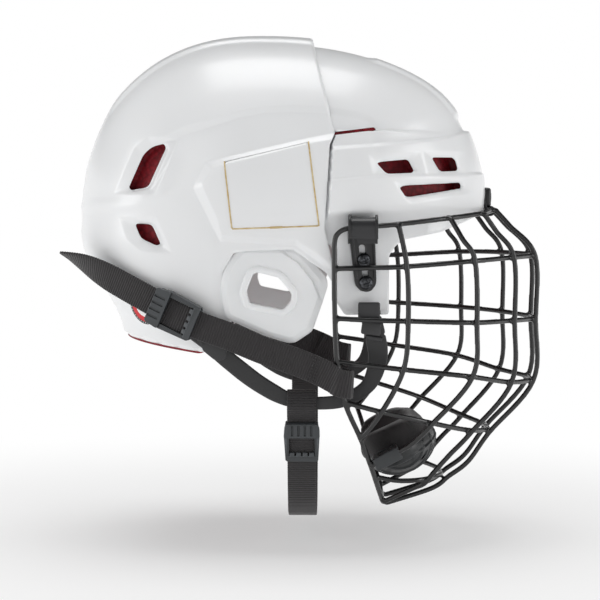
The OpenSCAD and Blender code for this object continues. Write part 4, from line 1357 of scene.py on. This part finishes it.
label_vinyl.node_tree.links.new(rings.outputs["Color"], mix.inputs[6])
mix.inputs[7].default_value = colour("#DADADA")
label_vinyl.node_tree.links.new(mix.outputs[2], shader.inputs["Base Color"])

u = np.linspace(0, 2 * np.pi, 73)
radii = [0.02, 0.3, 0.52, 0.8, 0.93, 1.0]
points, uv = [], []
for depth, sizes in ((0.6, radii), (-1.2, radii[::-1])):
    for r in sizes:
        x, z = LABEL_R * r * np.cos(u), LABEL_R * r * np.sin(u)
        bow = -x ** 2 / 190 - z ** 2 / 900
        points.append(np.stack([x, -(depth + bow - (0.25 if r == 1.0 and depth > 0 else 0)), z], 1))
        uv.append(np.stack([np.full(73, r), u / (2 * np.pi)], 1))
m = 73
faces = [[i * m + k, i * m + k + 1, (i + 1) * m + k + 1, (i + 1) * m + k]
         for i in range(len(points) - 1) for k in range(m - 1)]
label = mesh_object("size_label_print", np.concatenate(points), faces, np.concatenate(uv))
turned(label, (-91.6, -73.8, 0), (17.5, 0, 0), (0, 0, -38.7))
outward(label)
finish_mesh(label, "rear_half", label_vinyl, ["size_label"], 40)
print("label radius", LABEL_R, "mm")

# %% [markdown]
# White plastic on a white ground is lit softly from above, so that its creases show as tones. Two
# tall softboxes at the ends brighten the edges. A weaker one stands beside the camera. The camera
# is level with the shells and has a long lens, so the near and far wires nearly line up.

# %% Studio: floor, lights and camera
VIEW_D = 1450.0
FOCAL = 36.0 * 2057 / 600
scene = bpy.context.scene
camera = bpy.data.objects.new("camera", bpy.data.cameras.new("camera"))
scene.collection.objects.link(camera)
camera.data.lens = FOCAL
camera.data.sensor_width = 36
camera.location = Vector((33.8, -VIEW_D, 90.9)) * MM
camera.rotation_euler = (math.radians(90 - 3.59), 0, math.radians(0.86))
scene.camera = camera
scene.view_settings.view_transform = "Standard"

FLOOR_Z = -0.166
floor_mesh = bpy.data.meshes.new("floor")
floor_mesh.from_pydata([(-9, -9, FLOOR_Z), (9, -9, FLOOR_Z), (9, 9, FLOOR_Z), (-9, 9, FLOOR_Z)], [],
                       [(0, 1, 2, 3)])
floor = bpy.data.objects.new("floor", floor_mesh)
scene.collection.objects.link(floor)
floor_paint, shader = new_material("floor_paint_white", {"Roughness": 0.9})
place = add(floor_paint, "ShaderNodeTexCoord")
mottle = add(floor_paint, "ShaderNodeTexNoise", {"Scale": 0.8, "Detail": 3.0}, Vector=(place, "Object"))
tint = ramp(floor_paint, mottle, "Fac", [(0.3, "#F6F6F6"), (0.7, "#FAFAFA")])
wire_up(floor_paint, tint, "Color", shader, "Base Color")
# Away from the helmet the floor glows fully as a lit studio sweep does, so that it has no horizon.
# Even under the helmet it glows at about 42 per cent, which lightens the shadow there with painted light.
radius = add(floor_paint, "ShaderNodeVectorMath", {"operation": "LENGTH"}, s0=(place, "Object"))
far = add(floor_paint, "ShaderNodeMapRange",
          {"interpolation_type": "SMOOTHSTEP", "From Min": 0.12, "From Max": 0.6,
           "To Min": 0.42}, Value=(radius, "Value"))
glow = add(floor_paint, "ShaderNodeEmission", {"Strength": 1.0})
sweep_mix = add(floor_paint, "ShaderNodeMixShader", {}, s0=(far, "Result"), s1=(shader, 0), s2=(glow, 0))
out = floor_paint.node_tree.nodes["Material Output"]
floor_paint.node_tree.links.new(sweep_mix.outputs[0], out.inputs["Surface"])
floor_mesh.materials.append(floor_paint)


def softbox(name, size, power, place, target=(0, 0, 0.02)):
    light = bpy.data.lights.new(name, "AREA")
    light.shape = "RECTANGLE"
    light.size, light.size_y = size
    light.energy = power
    lamp = bpy.data.objects.new(name, light)
    lamp.location = place
    lamp.rotation_euler = (Vector(target) - Vector(place)).to_track_quat("-Z", "Y").to_euler()
    scene.collection.objects.link(lamp)


softbox("top_softbox", (2.0, 2.0), 52, (0.0, 0.1, 3.0))
softbox("key_softbox", (1.0, 1.4), 7.5, (-1.3, -2.2, 1.1))
softbox("front_rim_softbox", (0.8, 1.8), 20, (2.4, -0.7, 0.4))
softbox("rear_rim_softbox", (0.8, 1.8), 18, (-2.4, -0.7, 0.4))

# The room is white at the horizon, as a lit studio wall is, and dimmer overhead.
world = bpy.data.worlds.new("studio_white")
scene.world = world
world.use_nodes = True
background = world.node_tree.nodes["Background"]
background.inputs["Color"].default_value = (1, 1, 1, 1)
direction = add(world, "ShaderNodeTexCoord")
upward = add(world, "ShaderNodeSeparateXYZ", Vector=(direction, "Generated"))
wall = add(world, "ShaderNodeMapRange",
           {"interpolation_type": "SMOOTHSTEP", "From Min": 0.1, "From Max": 0.22, "To Min": 1.0,
            "To Max": 0.08}, Value=(upward, "Z"))
world.node_tree.links.new(wall.outputs["Result"], background.inputs["Strength"])
print("camera lens", round(FOCAL, 1), "mm")
